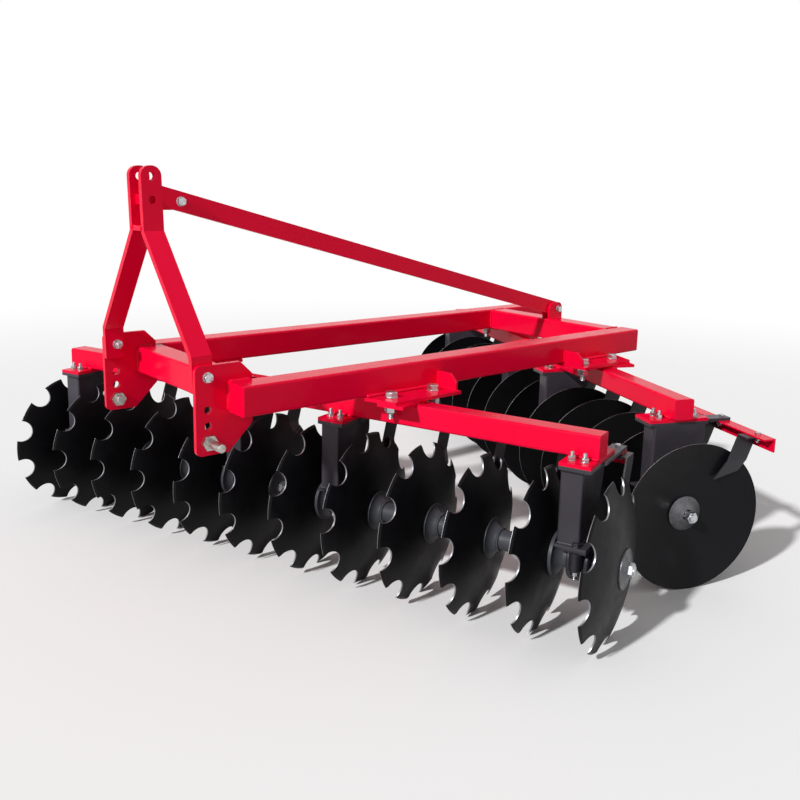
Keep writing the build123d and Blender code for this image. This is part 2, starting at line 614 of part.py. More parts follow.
def stay_ear():
    """Block between the mast's legs, with an ear beside the stay's front end."""
    front, _ = stay_line()
    hole_z = MAST_TOP_LINK_ABOVE_BOLT - MAST_STAY_HOLE_BELOW_TOP_LINK
    half = STAY_EAR_BLOCK / 2
    body = on_mast(block(-MAST_GAP / 2, MAST_GAP / 2, -half, half, hole_z - half, hole_z + half))
    half_t = STAY_THICKNESS / 2
    reach = STAY_HEIGHT / 2 - STAY_END_MARGIN
    plate = block(-half_t - STAY_EAR_THICKNESS, -half_t, MAST_SETBACK, front[0] + reach,
                  front[1] - reach, front[1] + reach)
    plate = fillet(plate.edges().filter_by(Axis.X).sort_by(Axis.Y)[-2:], reach - ROUND_END_FLAT)
    plate -= cross_rod(-2 * STAY_THICKNESS, 0, front[0], front[1], STAY_BOLT_HOLE)
    return body + plate


def stay_bracket():
    """Two ears on the rear cross beam, one on each side of the stay."""
    _, (y, z) = stay_line()
    base = FRAME_TOP_Z
    half = BRACKET_BASE_LENGTH / 2
    middle = y - BRACKET_BOLT_SETBACK + BRACKET_BASE_SETBACK
    ears = []
    for side in (-1, 1):
        x0 = side * (STAY_THICKNESS / 2 + BRACKET_SIDE_GAP)
        x1 = x0 + side * BRACKET_THICKNESS
        ear = block(x0, x1, middle - half, middle + half, base, z + BRACKET_TOP_RADIUS)
        ear = fillet(ear.edges().filter_by(Axis.X).sort_by(Axis.Z)[-2:], BRACKET_TOP_RADIUS)
        ears.append(ear - cross_rod(x0 - side, x1 + side, y, z, STAY_BOLT_HOLE))
    return ears


def scraper(side):
    """Flat strip with a bolted tab, reaching down into the hollow of a disc at X = 0.

    side is the way that the disc bulges. The strip leans forwards as it goes down. It keeps
    its clearance from the rim plane to below the rim, and then leans into the hollow."""
    tab_z = LEG_TOP_Z - ANGLE_THICKNESS
    bend_z, tip_z = AXLE_Z + SCRAPER_BEND_Z, AXLE_Z + SCRAPER_TIP_Z
    face, thick = -SCRAPER_CLEARANCE, SCRAPER_THICKNESS
    back = face - thick
    tip = face + SCRAPER_REACH
    profile = [(face, tab_z), (face, bend_z), (tip, tip_z), (tip - thick, tip_z),
               (back, bend_z), (back, tab_z - thick), (back - SCRAPER_TAB, tab_z - thick),
               (back - SCRAPER_TAB, tab_z)]
    strip = extrude(Plane.XZ * make_face(Polyline(*[(side * x, z) for x, z in profile], close=True)),
                    2 * ANGLE_REAR_N, both=True)
    slope = math.tan(math.radians(SCRAPER_LEAN))
    width = SCRAPER_WIDTH / math.cos(math.radians(SCRAPER_LEAN))
    inner_n = ANGLE_REAR_N - ANGLE_THICKNESS - SCRAPER_TO_ANGLE
    clip_z = tab_z - (SCRAPER_TOP_N + width - inner_n) / slope
    cut_z = tip_z + SCRAPER_TIP_CUT
    outline = Polyline((SCRAPER_TOP_N, tab_z), (inner_n, tab_z), (inner_n, clip_z),
                       (SCRAPER_TOP_N + width - slope * (tab_z - cut_z), cut_z),
                       (SCRAPER_TOP_N - slope * (tab_z - tip_z), tip_z), close=True)
    strip &= extrude(Plane.YZ * make_face(outline), 2 * DISC_PITCH, both=True)
    return strip - upright_hole(side * (back - SCRAPER_BOLT_OUT), ANGLE_BOLT_N, tab_z - thick, tab_z,
                                SCRAPER_BOLT_HOLE)


def scraper_bar(side, tongues):
    """Angle bar behind a row, under the legs' tongues: it hangs its rear flange.

    tongues gives the places of the tongues' bolts."""
    bolts = [rim_plane(index) - side * (SCRAPER_CLEARANCE + SCRAPER_THICKNESS + SCRAPER_BOLT_OUT)
             for index in range(DISCS_IN_ROW)]
    low = min(bolts) - ANGLE_END_MARGINS[-side]
    high = max(bolts) + ANGLE_END_MARGINS[side]
    flat = block(low, high, ANGLE_REAR_N - ANGLE_FLANGE, ANGLE_REAR_N, LEG_TOP_Z - ANGLE_THICKNESS, LEG_TOP_Z)
    upright = block(low, high, ANGLE_REAR_N - ANGLE_THICKNESS, ANGLE_REAR_N,
                    LEG_TOP_Z - ANGLE_FLANGE, LEG_TOP_Z)
    bar = flat + upright
    for x in bolts + tongues:
        bar -= upright_hole(x, ANGLE_BOLT_N, LEG_TOP_Z - ANGLE_THICKNESS, LEG_TOP_Z, SCRAPER_BOLT_HOLE)
    return bar


def frame_nodes():
    """Beams, cross beams, hitch plates, pins, mast and stay."""
    nodes = {}
    for name, side, length in BEAMS:
        nodes["frame_beam_" + name] = square_tube(
            side * BEAM_INNER_X, side * FRAME_X, FRAME_FRONT_Y, FRAME_FRONT_Y + length,
            FRAME_BOTTOM_Z, FRAME_TOP_Z, Axis.Y)
        nodes["hitch_plate_" + name] = hitch_plate(side)
        nodes["lower_hitch_pin_" + name] = hitch_pin(side)
        nodes["mast_leg_" + name] = mast_leg(side)
    nodes["mast_cheeks"] = [mast_cheek(1), mast_cheek(-1)]
    front = FRAME_FRONT_Y + FRONT_CROSS_SETBACK
    rear = FRAME_FRONT_Y + LEFT_BEAM_LENGTH - REAR_CROSS_SETBACK
    nodes["front_cross_beam"] = square_tube(-PLATE_INNER_X, PLATE_INNER_X, front, front + FRAME_TUBE,
                                            FRAME_BOTTOM_Z, FRAME_TOP_Z, Axis.X)
    nodes["rear_cross_beam"] = square_tube(-BEAM_INNER_X, BEAM_INNER_X, rear - FRAME_TUBE, rear,
                                           FRAME_BOTTOM_Z, FRAME_TOP_Z, Axis.X)
    bend = MAST_UPPER_BEND_ABOVE_BOLT
    nodes["mast_spacer"] = on_mast(block(-MAST_GAP / 2, MAST_GAP / 2, -MAST_FLAT_WIDTH / 2,
                                         MAST_FLAT_WIDTH / 2, bend, bend + MAST_SPACER_THICKNESS))
    nodes["stay_ear"] = stay_ear()
    nodes["stay_bar"] = stay_bar()
    nodes["stay_bracket"] = stay_bracket()
    return nodes


def row_nodes(name, side, middle_x, middle_y, angle, beam_n):
    """Everything of one row: beam, clamps, legs, housings, scrapers and two gangs."""
    nodes = {}
    place = row_frame(middle_x, middle_y, angle)
    slope = math.radians(angle)
    shift, face_to_beam, tongue_x, overhang = LEGS[name]
    legs = [rim_plane(gap) + DISC_PITCH / 2 + shift for gap in LEG_GAPS]
    plates = [seat_plate(along, side, beam_n, face_to_beam) for along in legs]
    for beam_name, beam_side, _ in BEAMS:
        x = beam_side * CLAMP_X
        along = (x - middle_x + beam_n * math.sin(slope)) / math.cos(slope)
        point = (x, middle_y + along * math.sin(slope) + beam_n * math.cos(slope))
        nodes["clamp_%s_%s" % (name, beam_name)] = clamp(beam_side, slope, point, side)
        bolts = [to_row(x, y, middle_x, middle_y, slope) for x, y in clamp_bolts(point, side)]
        plates.append(lower_clamp_plate(bolts, beam_n, side))
    nodes["gang_beam_" + name] = place * gang_beam(beam_n, legs, overhang)
    nodes["beam_plates_" + name] = [place * plate for plate in plates]
    for number, along in enumerate(legs, 1):
        shape = leg(beam_n, side, face_to_beam, tongue_x)
        nodes["leg_%s_%d" % (name, number)] = place * Pos(along, 0, 0) * shape
    middles = [along + side * HOUSING_X for along in legs]
    nodes["bearing_housings_" + name] = [place * Pos(middle, 0, 0) * housing() for middle in middles]
    nodes["scraper_bar_" + name] = place * scraper_bar(side, [along + side * tongue_x for along in legs])
    nodes["scrapers_" + name] = [place * Pos(rim_plane(index), 0, 0) * scraper(side)
                                 for index in range(DISCS_IN_ROW)]
    # A gang is made bulging to +X, and turned half round where its row bulges to -X.
    gang_place = place * Pos(0, 0, AXLE_Z) * (Rot(0, 0, 0) if side > 0 else Rot(0, 0, 180))
    bearings = {}
    for middle in middles:
        gap = max(g for g in range(DISCS_IN_ROW) if rim_plane(g) + HUB_DEPTH < side * middle)
        bearings[gap] = side * middle - rim_plane(gap) - HUB_DEPTH
    for first in (0, DISCS_IN_ROW // 2):
        end = name + ("_left" if (first > 0) == (side > 0) else "_right")
        turn, quarters = NOTCHED_GANGS.get(end, (0, None))
        discs, spools, shaft, washers = gang(first, turn, quarters, bearings)
        nodes["discs_" + end] = [gang_place * shape for shape in discs]
        nodes["spools_" + end] = [gang_place * shape for shape in spools]
        nodes["axle_" + end] = gang_place * shaft
        nodes["end_washers_" + end] = [gang_place * shape for shape in washers]
    return nodes


def whole():
    """All nodes over the lower hitch holes, and the shift that centres them."""
    nodes = frame_nodes()
    for row in ROWS:
        nodes.update(row_nodes(*row))
    for name, shape in nodes.items():
        if isinstance(shape, list):
            nodes[name] = Compound(children=[Compound(s) if isinstance(s, list) else s for s in shape])
    boxes = [shape.bounding_box() for shape in nodes.values()]
    middle_x = (min(b.min.X for b in boxes) + max(b.max.X for b in boxes)) / 2
    middle_y = (min(b.min.Y for b in boxes) + max(b.max.Y for b in boxes)) / 2
    return nodes, (-middle_x, -middle_y)


os.makedirs("parts", exist_ok=True)
NODES, (SHIFT_X, SHIFT_Y) = whole()
print("moved by", round(SHIFT_X, 3), round(SHIFT_Y, 3))
for node_name, node_shape in NODES.items():
    export_step(Pos(SHIFT_X, SHIFT_Y, 0) * node_shape, "parts/%s.step" % node_name)
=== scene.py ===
# %% [markdown]
# # Dressing a disc harrow
#
# The harrow's construction comes in as a fixed frame: every beam, disc and spool already has its
# size and its place. This lesson gives it its finish and the small things that a construction
# model leaves out: enamel, bare cutting edges, bolts, nuts, threads and weld beads.
# Nothing here moves or resizes a part. Lengths are in metres and angles in degrees.

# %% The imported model
import bpy
import math
import numpy as np
from mathutils import Matrix, Vector


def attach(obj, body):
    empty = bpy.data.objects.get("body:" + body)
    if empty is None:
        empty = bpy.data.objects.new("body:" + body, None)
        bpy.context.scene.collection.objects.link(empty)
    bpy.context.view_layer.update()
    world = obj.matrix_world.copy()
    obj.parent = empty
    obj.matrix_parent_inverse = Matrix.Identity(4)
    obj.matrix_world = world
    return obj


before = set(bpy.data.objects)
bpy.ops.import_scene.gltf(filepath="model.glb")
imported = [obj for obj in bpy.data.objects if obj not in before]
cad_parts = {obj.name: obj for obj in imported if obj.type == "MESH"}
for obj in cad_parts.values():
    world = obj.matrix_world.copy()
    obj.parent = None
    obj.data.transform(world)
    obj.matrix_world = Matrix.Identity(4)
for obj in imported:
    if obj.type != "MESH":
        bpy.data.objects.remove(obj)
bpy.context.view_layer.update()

# %% [markdown]
# ## Where things are measured from
#
# The construction was drawn over its lower hitch holes and then centred. Each row of discs has
# its own axes: along the axle, behind it, and up. Repeating both here lets a bolt be placed with
# the same few numbers as on the maker's drawing, instead of being moved about by eye.

# %% The drawing's origin and the two rows
CENTRED_BY = np.array([-0.02261, -1.30931, 0.0])

# Each row: middle of its axis, angle of the axis from X, side that its discs bulge to, its gang
# beam behind the axle, its tongues beside the legs, how far the legs' front faces stand before
# the gang beam's middle, and its four legs along it.
ROWS = {
    "front": dict(middle=(0.045, 0.512), angle=18.9, side=1, beam=0.020, tongue=0.053,
                  leg_face=0.095, legs=(-1.146, -0.226, 0.234, 1.154)),
    "rear": dict(middle=(0.024, 2.014), angle=-23.8, side=-1, beam=0.004, tongue=0.009,
                 leg_face=0.109, legs=(-1.195, -0.275, 0.185, 1.105)),
}


def drawn(points):
    """Points of the drawing, moved with it."""
    return np.asarray(points, float) + CENTRED_BY


def row_axes(row):
    """The row's three directions: along its axle, behind it and up."""
    angle = math.radians(ROWS[row]["angle"])
    cos, sin = math.cos(angle), math.sin(angle)
    return np.array([[cos, sin, 0], [-sin, cos, 0], [0, 0, 1]])


def in_row(row, points):
    """Points along, behind and above a row's middle on the ground: each is the middle plus its
    three distances times the row's three directions."""
    return drawn(np.asarray(points, float) @ row_axes(row) + np.array([*ROWS[row]["middle"], 0.0]))


print("front row's middle:", in_row("front", [0, 0, 0]), "rear row's:", in_row("rear", [0, 0, 0]))

# %% [markdown]
# ## The camera
#
# The photograph was taken from the harrow's left front corner, a little above the frame. The
# view's direction is given as two angles and a small roll, and the picture's centre lies beside
# the optical axis, so the lens is shifted.

# %% Camera
# The lens is in millimetres, and the shift in widths of the picture.
CAMERA_PLACE = drawn((2.7814, -1.254902, 1.4425))
CAMERA_AZIMUTH = 48.385
CAMERA_DROP = 10.883
CAMERA_ROLL = 1.524
LENS = 39.23
SHIFT = (-0.0286, -0.0564)


def make_camera():
    """Camera whose axes are worked out from azimuth, drop and roll: forward leans down by the
    drop, right is level, up is their cross product, and the roll turns right towards up."""
    azimuth, drop, roll = (math.radians(a) for a in (CAMERA_AZIMUTH, CAMERA_DROP, CAMERA_ROLL))
    level = math.cos(drop)
    forward = Vector((-math.sin(azimuth) * level, math.cos(azimuth) * level, -math.sin(drop)))
    level_right = Vector((math.cos(azimuth), math.sin(azimuth), 0.0))
    level_up = level_right.cross(forward)
    right = level_right * math.cos(roll) + level_up * math.sin(roll)
    up = level_up * math.cos(roll) - level_right * math.sin(roll)
    data = bpy.data.cameras.new("photo_view")
    data.lens = LENS
    data.shift_x, data.shift_y = SHIFT
    camera = bpy.data.objects.new("photo_view", data)
    turn = Matrix((right, up, -forward)).transposed().to_4x4()
    camera.matrix_world = Matrix.Translation(Vector(CAMERA_PLACE)) @ turn
    bpy.context.scene.collection.objects.link(camera)
    bpy.context.scene.camera = camera
    return camera


camera = make_camera()
print("lens", camera.data.lens, "at", camera.location)

# %% [markdown]
# ## Studio light
#
# The machine stood in the open with the sun in front of it, about a third of the way up the sky
# and a little to its left. A sun lamp with a wide disc gives the same lit and shaded faces with
# soft shadow edges. The world fills the shade. It looks white to the camera and to reflections,
# but lights the object with less than that, so the enamel keeps its depth. Three helpers keep
# the node trees short: one adds a node with its sockets set or linked, one is for plain
# arithmetic, and one stretches a range of values to another.

# %% World
WHITE = (1, 1, 1, 1)
FILL_STRENGTH = 0.35


def join(tree, kind, settings=None, **inputs):
    """Adds a node. settings are its own choices, and inputs its sockets by name, or by number as
    i0, i1: a value is written into the socket, and another node's output is linked to it."""
    node = tree.nodes.new("ShaderNode" + kind)
    for name, choice in (settings or {}).items():
        setattr(node, name, choice)
    for name, value in inputs.items():
        socket = node.inputs[int(name[1:]) if name[1:].isdigit() else name.replace("_", " ")]
        if isinstance(value, bpy.types.NodeSocket):
            tree.links.new(value, socket)
        else:
            socket.default_value = value
    return node


def maths(tree, operation, a, b=0.0, c=0.0):
    """Output of a Math node on up to three values."""
    return join(tree, "Math", {"operation": operation}, i0=a, i1=b, i2=c).outputs[0]


def remap(tree, value, low, high, to_low=0.0, to_high=1.0):
    """The value's range from low to high, stretched to another range and held at its ends."""
    return join(tree, "MapRange", Value=value, From_Min=low, From_Max=high, To_Min=to_low,
                To_Max=to_high).outputs[0]


def shown(tree):
    """1 for the rays that show a thing: from the camera, in a reflection or through glass."""
    rays = tree.nodes.new("ShaderNodeLightPath").outputs
    direct = maths(tree, "MAXIMUM", rays["Is Camera Ray"], rays["Is Glossy Ray"])
    return maths(tree, "MAXIMUM", direct, rays["Is Transmission Ray"])


world = bpy.data.worlds.new("studio")
world.use_nodes = True
bpy.context.scene.world = world
sky = world.node_tree
strength = remap(sky, shown(sky), 0.0, 1.0, FILL_STRENGTH, 1.0)
sky.nodes["Background"].inputs["Color"].default_value = WHITE
sky.links.new(strength, sky.nodes["Background"].inputs["Strength"])
print("the world looks white and lights with", FILL_STRENGTH, "of that")

# %% Sun
SUN_FROM = (0.13, -1.0, 0.67)
SUN_WIDTH = 3
SUN_STRENGTH = 3.0

sun_data = bpy.data.lights.new("sun", "SUN")
sun_data.energy = SUN_STRENGTH
sun_data.angle = math.radians(SUN_WIDTH)
sun = bpy.data.objects.new("sun", sun_data)
sun.rotation_euler = Vector(SUN_FROM).to_track_quat("Z", "Y").to_euler()
bpy.context.scene.collection.objects.link(sun)
bpy.context.scene.view_settings.view_transform = "Standard"
print("sun stands", round(math.degrees(math.asin(SUN_FROM[2] / math.hypot(*SUN_FROM)))), "degrees high")

# %% [markdown]
# ## Floor
#
# The floor is a large pale plane that keeps the harrow's shadow. With the distance from the
# middle it fades into the white of the world, so no horizon shows. The camera and reflections
# see it pale, but for the light it throws back onto the harrow it is a darker grey, so the
# harrow's shaded sides stay dark.

# %% Floor
FLOOR_SIZE = 60
FADE_FROM, FADE_TO = 3.2, 8.0
FLOOR_SEEN, FLOOR_LIT = (0.99, 0.99, 0.99, 1), (0.50, 0.50, 0.50, 1)


def blend(tree, factor, a, b):
    """Colour between two others."""
    return join(tree, "Mix", {"data_type": "RGBA"}, i0=factor, i6=a, i7=b).outputs[2]


def floor_finish():
    """Diffuse floor that turns to plain white light with the distance from the middle."""
    material = bpy.data.materials.new("pale_floor")
    material.use_nodes = True
    tree = material.node_tree
    tree.nodes.clear()
    place = join(tree, "TexCoord").outputs["Object"]
    far = join(tree, "VectorMath", {"operation": "LENGTH"}, i0=place).outputs["Value"]
    fade = join(tree, "MapRange", {"interpolation_type": "SMOOTHSTEP"}, Value=far,
                From_Min=FADE_FROM, From_Max=FADE_TO).outputs[0]
    tone = blend(tree, shown(tree), FLOOR_LIT, FLOOR_SEEN)
    lit = join(tree, "BsdfDiffuse", Color=tone).outputs[0]
    white = join(tree, "Emission", Color=WHITE).outputs[0]
    both = join(tree, "MixShader", i0=fade, i1=lit, i2=white).outputs[0]
    join(tree, "OutputMaterial", Surface=both)
    return material


bpy.ops.mesh.primitive_plane_add(size=FLOOR_SIZE)
floor = bpy.context.object
floor.name = "floor"
floor.data.materials.append(floor_finish())
print("floor fades out between", FADE_FROM, "and", FADE_TO, "m")

# %% [markdown]
# ## The paint's own structure
#
# Sprayed enamel is never one flat colour. It lies in low waves (orange peel), its tone drifts a
# little over a panel, it rounds every plate edge, and it is thinner there, with a few chips. The
# edges are also painted lighter, partly for that thin paint and partly as a painted highlight
# where an edge catches the light. All paints on this machine share that, so it is one node group
# with named inputs.
# The edge mask compares the surface's own normal with one that a Bevel node has rounded.

# %% Helpers for node groups
BEVEL_SAMPLES = 4
FINISH_OUTPUTS = {"Color": "Color", "Roughness": "Float", "Normal": "Vector"}
# Range that most of the noise lies in.
MOST_NOISE = (0.3, 0.7)


def new_group(name, inputs, outputs):
    """Empty node group with named sockets, each given with its kind."""
    group = bpy.data.node_groups.new(name, "ShaderNodeTree")
    for way, sockets in (("INPUT", inputs), ("OUTPUT", outputs)):
        for socket, kind in sockets.items():
            group.interface.new_socket(name=socket, in_out=way, socket_type="NodeSocket" + kind)
    given, out = group.nodes.new("NodeGroupInput"), group.nodes.new("NodeGroupOutput")
    return group, given.outputs, out.inputs


def noise(tree, place, size, detail=2.0, rough=0.5):
    """Value from 0 to 1 that drifts over about the given size in metres."""
    return join(tree, "TexNoise", Vector=place, Scale=1.0 / size, Detail=detail,
                Roughness=rough).outputs[0]


def cosine(tree, a, b):
    """Cosine of the angle between two directions: 1 where they agree."""
    return join(tree, "VectorMath", {"operation": "DOT_PRODUCT"}, i0=a, i1=b).outputs["Value"]


# %% Group: sprayed coat
# Sizes of the tone's drift, of cloudy gloss, of chips and of the waves.
DRIFT_SIZE, CLOUD_SIZE, CHIP_SIZE, WAVE_SIZE = 0.35, 0.06, 0.004, 0.009
# Cosines between true and rounded normal where an edge begins and where it is full.
EDGE_BEGINS, EDGE_FULL = 0.995, 0.90
# How far the drift and an edge take the colour towards the paler second tone. On an edge that
# lighter tone is partly thinner paint and partly a painted highlight.
DRIFT_SHARE, EDGE_THIN_AND_HIGHLIGHT_SHARE = 0.35, 0.7
# Noise above which a chip opens on a flat face, width of its rim, and its roughness.
CHIP_ABOVE, CHIP_RIM, CHIP_DULL = 0.78, 0.02, 0.5


def sprayed_coat():
    """Colour, roughness and normal of sprayed paint on plates with rounded edges."""
    tree, given, out = new_group(
        "sprayed_coat",
        {"Paint": "Color", "Thin Paint and Highlight": "Color", "Bare": "Color", "Smooth": "Float", "Dull": "Float",
         "Rounding": "Float", "Peel": "Float", "Chips": "Float"}, FINISH_OUTPUTS)
    place = join(tree, "TexCoord").outputs["Object"]
    rounded = join(tree, "Bevel", {"samples": BEVEL_SAMPLES}, Radius=given["Rounding"]).outputs[0]
    surface = join(tree, "NewGeometry").outputs["True Normal"]
    edge = remap(tree, cosine(tree, rounded, surface), EDGE_BEGINS, EDGE_FULL)
    drift = remap(tree, noise(tree, place, DRIFT_SIZE, detail=3.0), *MOST_NOISE)
    toned = blend(tree, maths(tree, "MULTIPLY", drift, DRIFT_SHARE), given["Paint"], given["Thin Paint and Highlight"])
    # Edges are painted towards the lighter tone: partly thinner paint, partly a painted highlight.
    edges_thin_and_highlit = blend(tree, maths(tree, "MULTIPLY", edge, EDGE_THIN_AND_HIGHLIGHT_SHARE), toned, given["Thin Paint and Highlight"])
    speck = noise(tree, place, CHIP_SIZE, detail=3.0, rough=0.7)
    limit = maths(tree, "SUBTRACT", CHIP_ABOVE, maths(tree, "MULTIPLY", edge, given["Chips"]))
    chip = remap(tree, maths(tree, "SUBTRACT", speck, limit), 0.0, CHIP_RIM)
    tree.links.new(blend(tree, chip, edges_thin_and_highlit, given["Bare"]), out["Color"])
    cloud = remap(tree, noise(tree, place, CLOUD_SIZE, detail=4.0, rough=0.6), *MOST_NOISE)
    dull = remap(tree, cloud, 0.0, 1.0, given["Smooth"], given["Dull"])
    rough = maths(tree, "MAXIMUM", dull, maths(tree, "MULTIPLY", chip, CHIP_DULL))
    tree.links.new(rough, out["Roughness"])
    waves = noise(tree, place, WAVE_SIZE, detail=1.5)
    relief = join(tree, "Bump", Strength=1.0, Distance=given["Peel"], Height=waves, Normal=rounded)
    tree.links.new(relief.outputs[0], out["Normal"])
    return tree


COAT = sprayed_coat()
print("group", COAT.name, "with", len(COAT.nodes), "nodes")

# %% [markdown]
# ## Red enamel
#
# The frame's enamel is a deep, slightly bluish red with a hard gloss. A clear coat gives the
# sharp reflection over the softer one of the pigment. Its reflection straight on is kept low, or
# the white studio would wash the red out, and it still grows towards grazing angles.

# %% Red enamel
CLEAR_ROUGHNESS, CLEAR_IOR = 0.08, 1.3


def finished(name, group, values):
    """New material: a node group with its own values, feeding a Principled shader."""
    material = bpy.data.materials.new(name)
    material.use_nodes = True
    tree = material.node_tree
    coat = tree.nodes.new("ShaderNodeGroup")
    coat.name = "coat"
    coat.node_tree = group
    for socket, value in values.items():
        coat.inputs[socket].default_value = value
    shader = tree.nodes["Principled BSDF"]
    for output, socket in (("Color", "Base Color"), ("Roughness", "Roughness"), ("Normal", "Normal")):
        tree.links.new(coat.outputs[output], shader.inputs[socket])
    return material, shader


def painted(name, coat, gloss, clear=0.0):
    """Painted metal: the sprayed coat on a Principled shader, whose gloss is set on the shader."""
    material, shader = finished(name, COAT, coat)
    shader.inputs["Specular IOR Level"].default_value = gloss
    shader.inputs["Coat Weight"].default_value = clear
    shader.inputs["Coat Roughness"].default_value = CLEAR_ROUGHNESS
    shader.inputs["Coat IOR"].default_value = CLEAR_IOR
    return material


# The lighter second red pales the edges: partly thinner paint, partly a painted highlight.
RED = painted("red_enamel", {
    "Paint": (0.84, 0.0010, 0.034, 1), "Thin Paint and Highlight": (0.90, 0.003, 0.055, 1),
    "Bare": (0.60, 0.16, 0.18, 1), "Smooth": 0.18, "Dull": 0.28,
    "Rounding": 0.0020, "Peel": 0.00004, "Chips": 0.15}, gloss=0.045, clear=0.15)
print("made", RED.name)

# %% [markdown]
# ## Black enamel
#
# Legs, housings and scrapers are black, with the same spray structure, and the legs are a little
# paler. The spools are greyer and duller, because they were painted as turned parts on a rack.
# A chip shows the same grey steel in all three.

# %% Black enamel
CHIPPED_STEEL = (0.22, 0.22, 0.23, 1)
# In these black paints the second, much lighter tone pales the edges: partly thinner paint, partly a
# painted highlight.
BLACK = painted("black_enamel", {
    "Paint": (0.010, 0.0095, 0.012, 1), "Thin Paint and Highlight": (0.055, 0.050, 0.062, 1),
    "Bare": CHIPPED_STEEL, "Smooth": 0.28, "Dull": 0.42,
    "Rounding": 0.0020, "Peel": 0.00008, "Chips": 0.14}, gloss=0.30)
LEG_BLACK = painted("leg_enamel", {
    "Paint": (0.033, 0.029, 0.037, 1), "Thin Paint and Highlight": (0.110, 0.098, 0.122, 1),
    "Bare": CHIPPED_STEEL, "Smooth": 0.26, "Dull": 0.44,
    "Rounding": 0.0020, "Peel": 0.00008, "Chips": 0.14}, gloss=0.25)
GREY_BLACK = painted("spool_paint", {
    "Paint": (0.036, 0.038, 0.046, 1), "Thin Paint and Highlight": (0.095, 0.098, 0.112, 1),
    "Bare": CHIPPED_STEEL, "Smooth": 0.42, "Dull": 0.58,
    "Rounding": 0.0015, "Peel": 0.00010, "Chips": 0.10}, gloss=0.35)
print("made", BLACK.name, LEG_BLACK.name, "and", GREY_BLACK.name)

# %% [markdown]
# ## Disc steel
#
# A disc is pressed hot from boron steel, spun and coated dark. Its pressing leaves faint rings
# round the axle. The cutting edge and the notches are ground or punched after coating, so they
# are bare. Both follow from where a point lies on its row: the rings from its distance to the
# axle, and the bare steel from how far its surface turns away from the axle's direction. The
# notches and the narrow edge stand square to the dish, so they are bare, and the bevel beside
# the edge keeps its coat.

# %% Group: rings and bare edges of a turned part
# How fast the rings change round the axle, for each radian, and along it, for each metre, and
# the range of noise that they are made of.
CHANGE_ROUND, CHANGE_ALONG, RING_NOISE = 0.6, 4.0, (0.25, 0.75)
# Cosines to the axle's direction from which the coat ends, and below which all is bare.
COAT_ENDS, ALL_BARE = 0.55, 0.40


def turned_marks():
    """Rings round an axle and a mask of bare edges, from a place in row axes and the axle's
    direction. Ring height is noise over the distance from the axle, stretched round it."""
    tree, given, out = new_group(
        "turned_marks", {"Place": "Vector", "Axle": "Vector", "Ring Size": "Float"},
        {"Rings": "Float", "Bare Edge": "Float"})
    parts = join(tree, "SeparateXYZ", i0=given["Place"]).outputs
    square = maths(tree, "MULTIPLY", parts["Y"], parts["Y"])
    distance = maths(tree, "SQRT", maths(tree, "MULTIPLY_ADD", parts["Z"], parts["Z"], square))
    turn = maths(tree, "ARCTAN2", parts["Z"], parts["Y"])
    grain = join(tree, "CombineXYZ", X=maths(tree, "DIVIDE", distance, given["Ring Size"]),
                 Y=maths(tree, "MULTIPLY", turn, CHANGE_ROUND),
                 Z=maths(tree, "MULTIPLY", parts["X"], CHANGE_ALONG))
    rings = join(tree, "TexNoise", Vector=grain.outputs[0], Scale=1.0, Detail=2.0).outputs[0]
    tree.links.new(remap(tree, rings, *RING_NOISE), out["Rings"])
    surface = join(tree, "NewGeometry").outputs["True Normal"]
    facing = maths(tree, "ABSOLUTE", cosine(tree, surface, given["Axle"]))
    tree.links.new(remap(tree, facing, COAT_ENDS, ALL_BARE), out["Bare Edge"])
    return tree


MARKS = turned_marks()
print("group", MARKS.name, "with", len(MARKS.nodes), "nodes")

# %% [markdown]
# ## Disc coat
#
# One material for each row, because the rings need that row's axis. The notched discs' edges are
# punched and stay a dull grey, and the plain discs' edges are ground bright.

# %% Disc coat
AXLE_HEIGHT = 0.280
EDGE_STEEL = {"front": (0.29, 0.29, 0.31, 1), "rear": (0.50, 0.50, 0.50, 1)}
RING_SIZE, RING_TONE, RING_SHARE, RING_DULL = 0.004, (0.012, 0.011, 0.012, 1), 0.30, 0.05


def place_in_row(tree, row):
    """Object coordinates turned into the row's axes over its axle."""
    x, y, _ = in_row(row, (0, 0, 0))
    place = join(tree, "TexCoord").outputs["Object"]
    turn = (0, 0, math.radians(ROWS[row]["angle"]))
    return join(tree, "Mapping", {"vector_type": "TEXTURE"}, Vector=place,
                Location=(x, y, AXLE_HEIGHT), Rotation=turn).outputs[0]


def disc_finish(row):
    """Dark coated steel with faint rings, and bare edges that turn metallic."""
    # The second, lighter tone pales the coated edges a little: thinner coat and a painted highlight.
    material = painted("disc_coat_" + row, {
        "Paint": (0.0030, 0.0031, 0.0042, 1), "Thin Paint and Highlight": (0.008, 0.0085, 0.011, 1),
        "Bare": (0.10, 0.10, 0.11, 1), "Smooth": 0.30, "Dull": 0.44,
        "Rounding": 0.0012, "Peel": 0.00012, "Chips": 0.0}, gloss=0.13)
    tree = material.node_tree
    shader, coat = tree.nodes["Principled BSDF"], tree.nodes["coat"]
    marks = tree.nodes.new("ShaderNodeGroup")
    marks.node_tree = MARKS
    marks.inputs["Axle"].default_value = row_axes(row)[0]
    marks.inputs["Ring Size"].default_value = RING_SIZE
    tree.links.new(place_in_row(tree, row), marks.inputs["Place"])
    rings, bare = marks.outputs["Rings"], marks.outputs["Bare Edge"]
    toned = blend(tree, maths(tree, "MULTIPLY", rings, RING_SHARE), coat.outputs["Color"], RING_TONE)
    tree.links.new(blend(tree, bare, toned, EDGE_STEEL[row]), shader.inputs["Base Color"])
    tree.links.new(bare, shader.inputs["Metallic"])
    rough = maths(tree, "MULTIPLY_ADD", rings, RING_DULL, coat.outputs["Roughness"])
    tree.links.new(rough, shader.inputs["Roughness"])
    return material


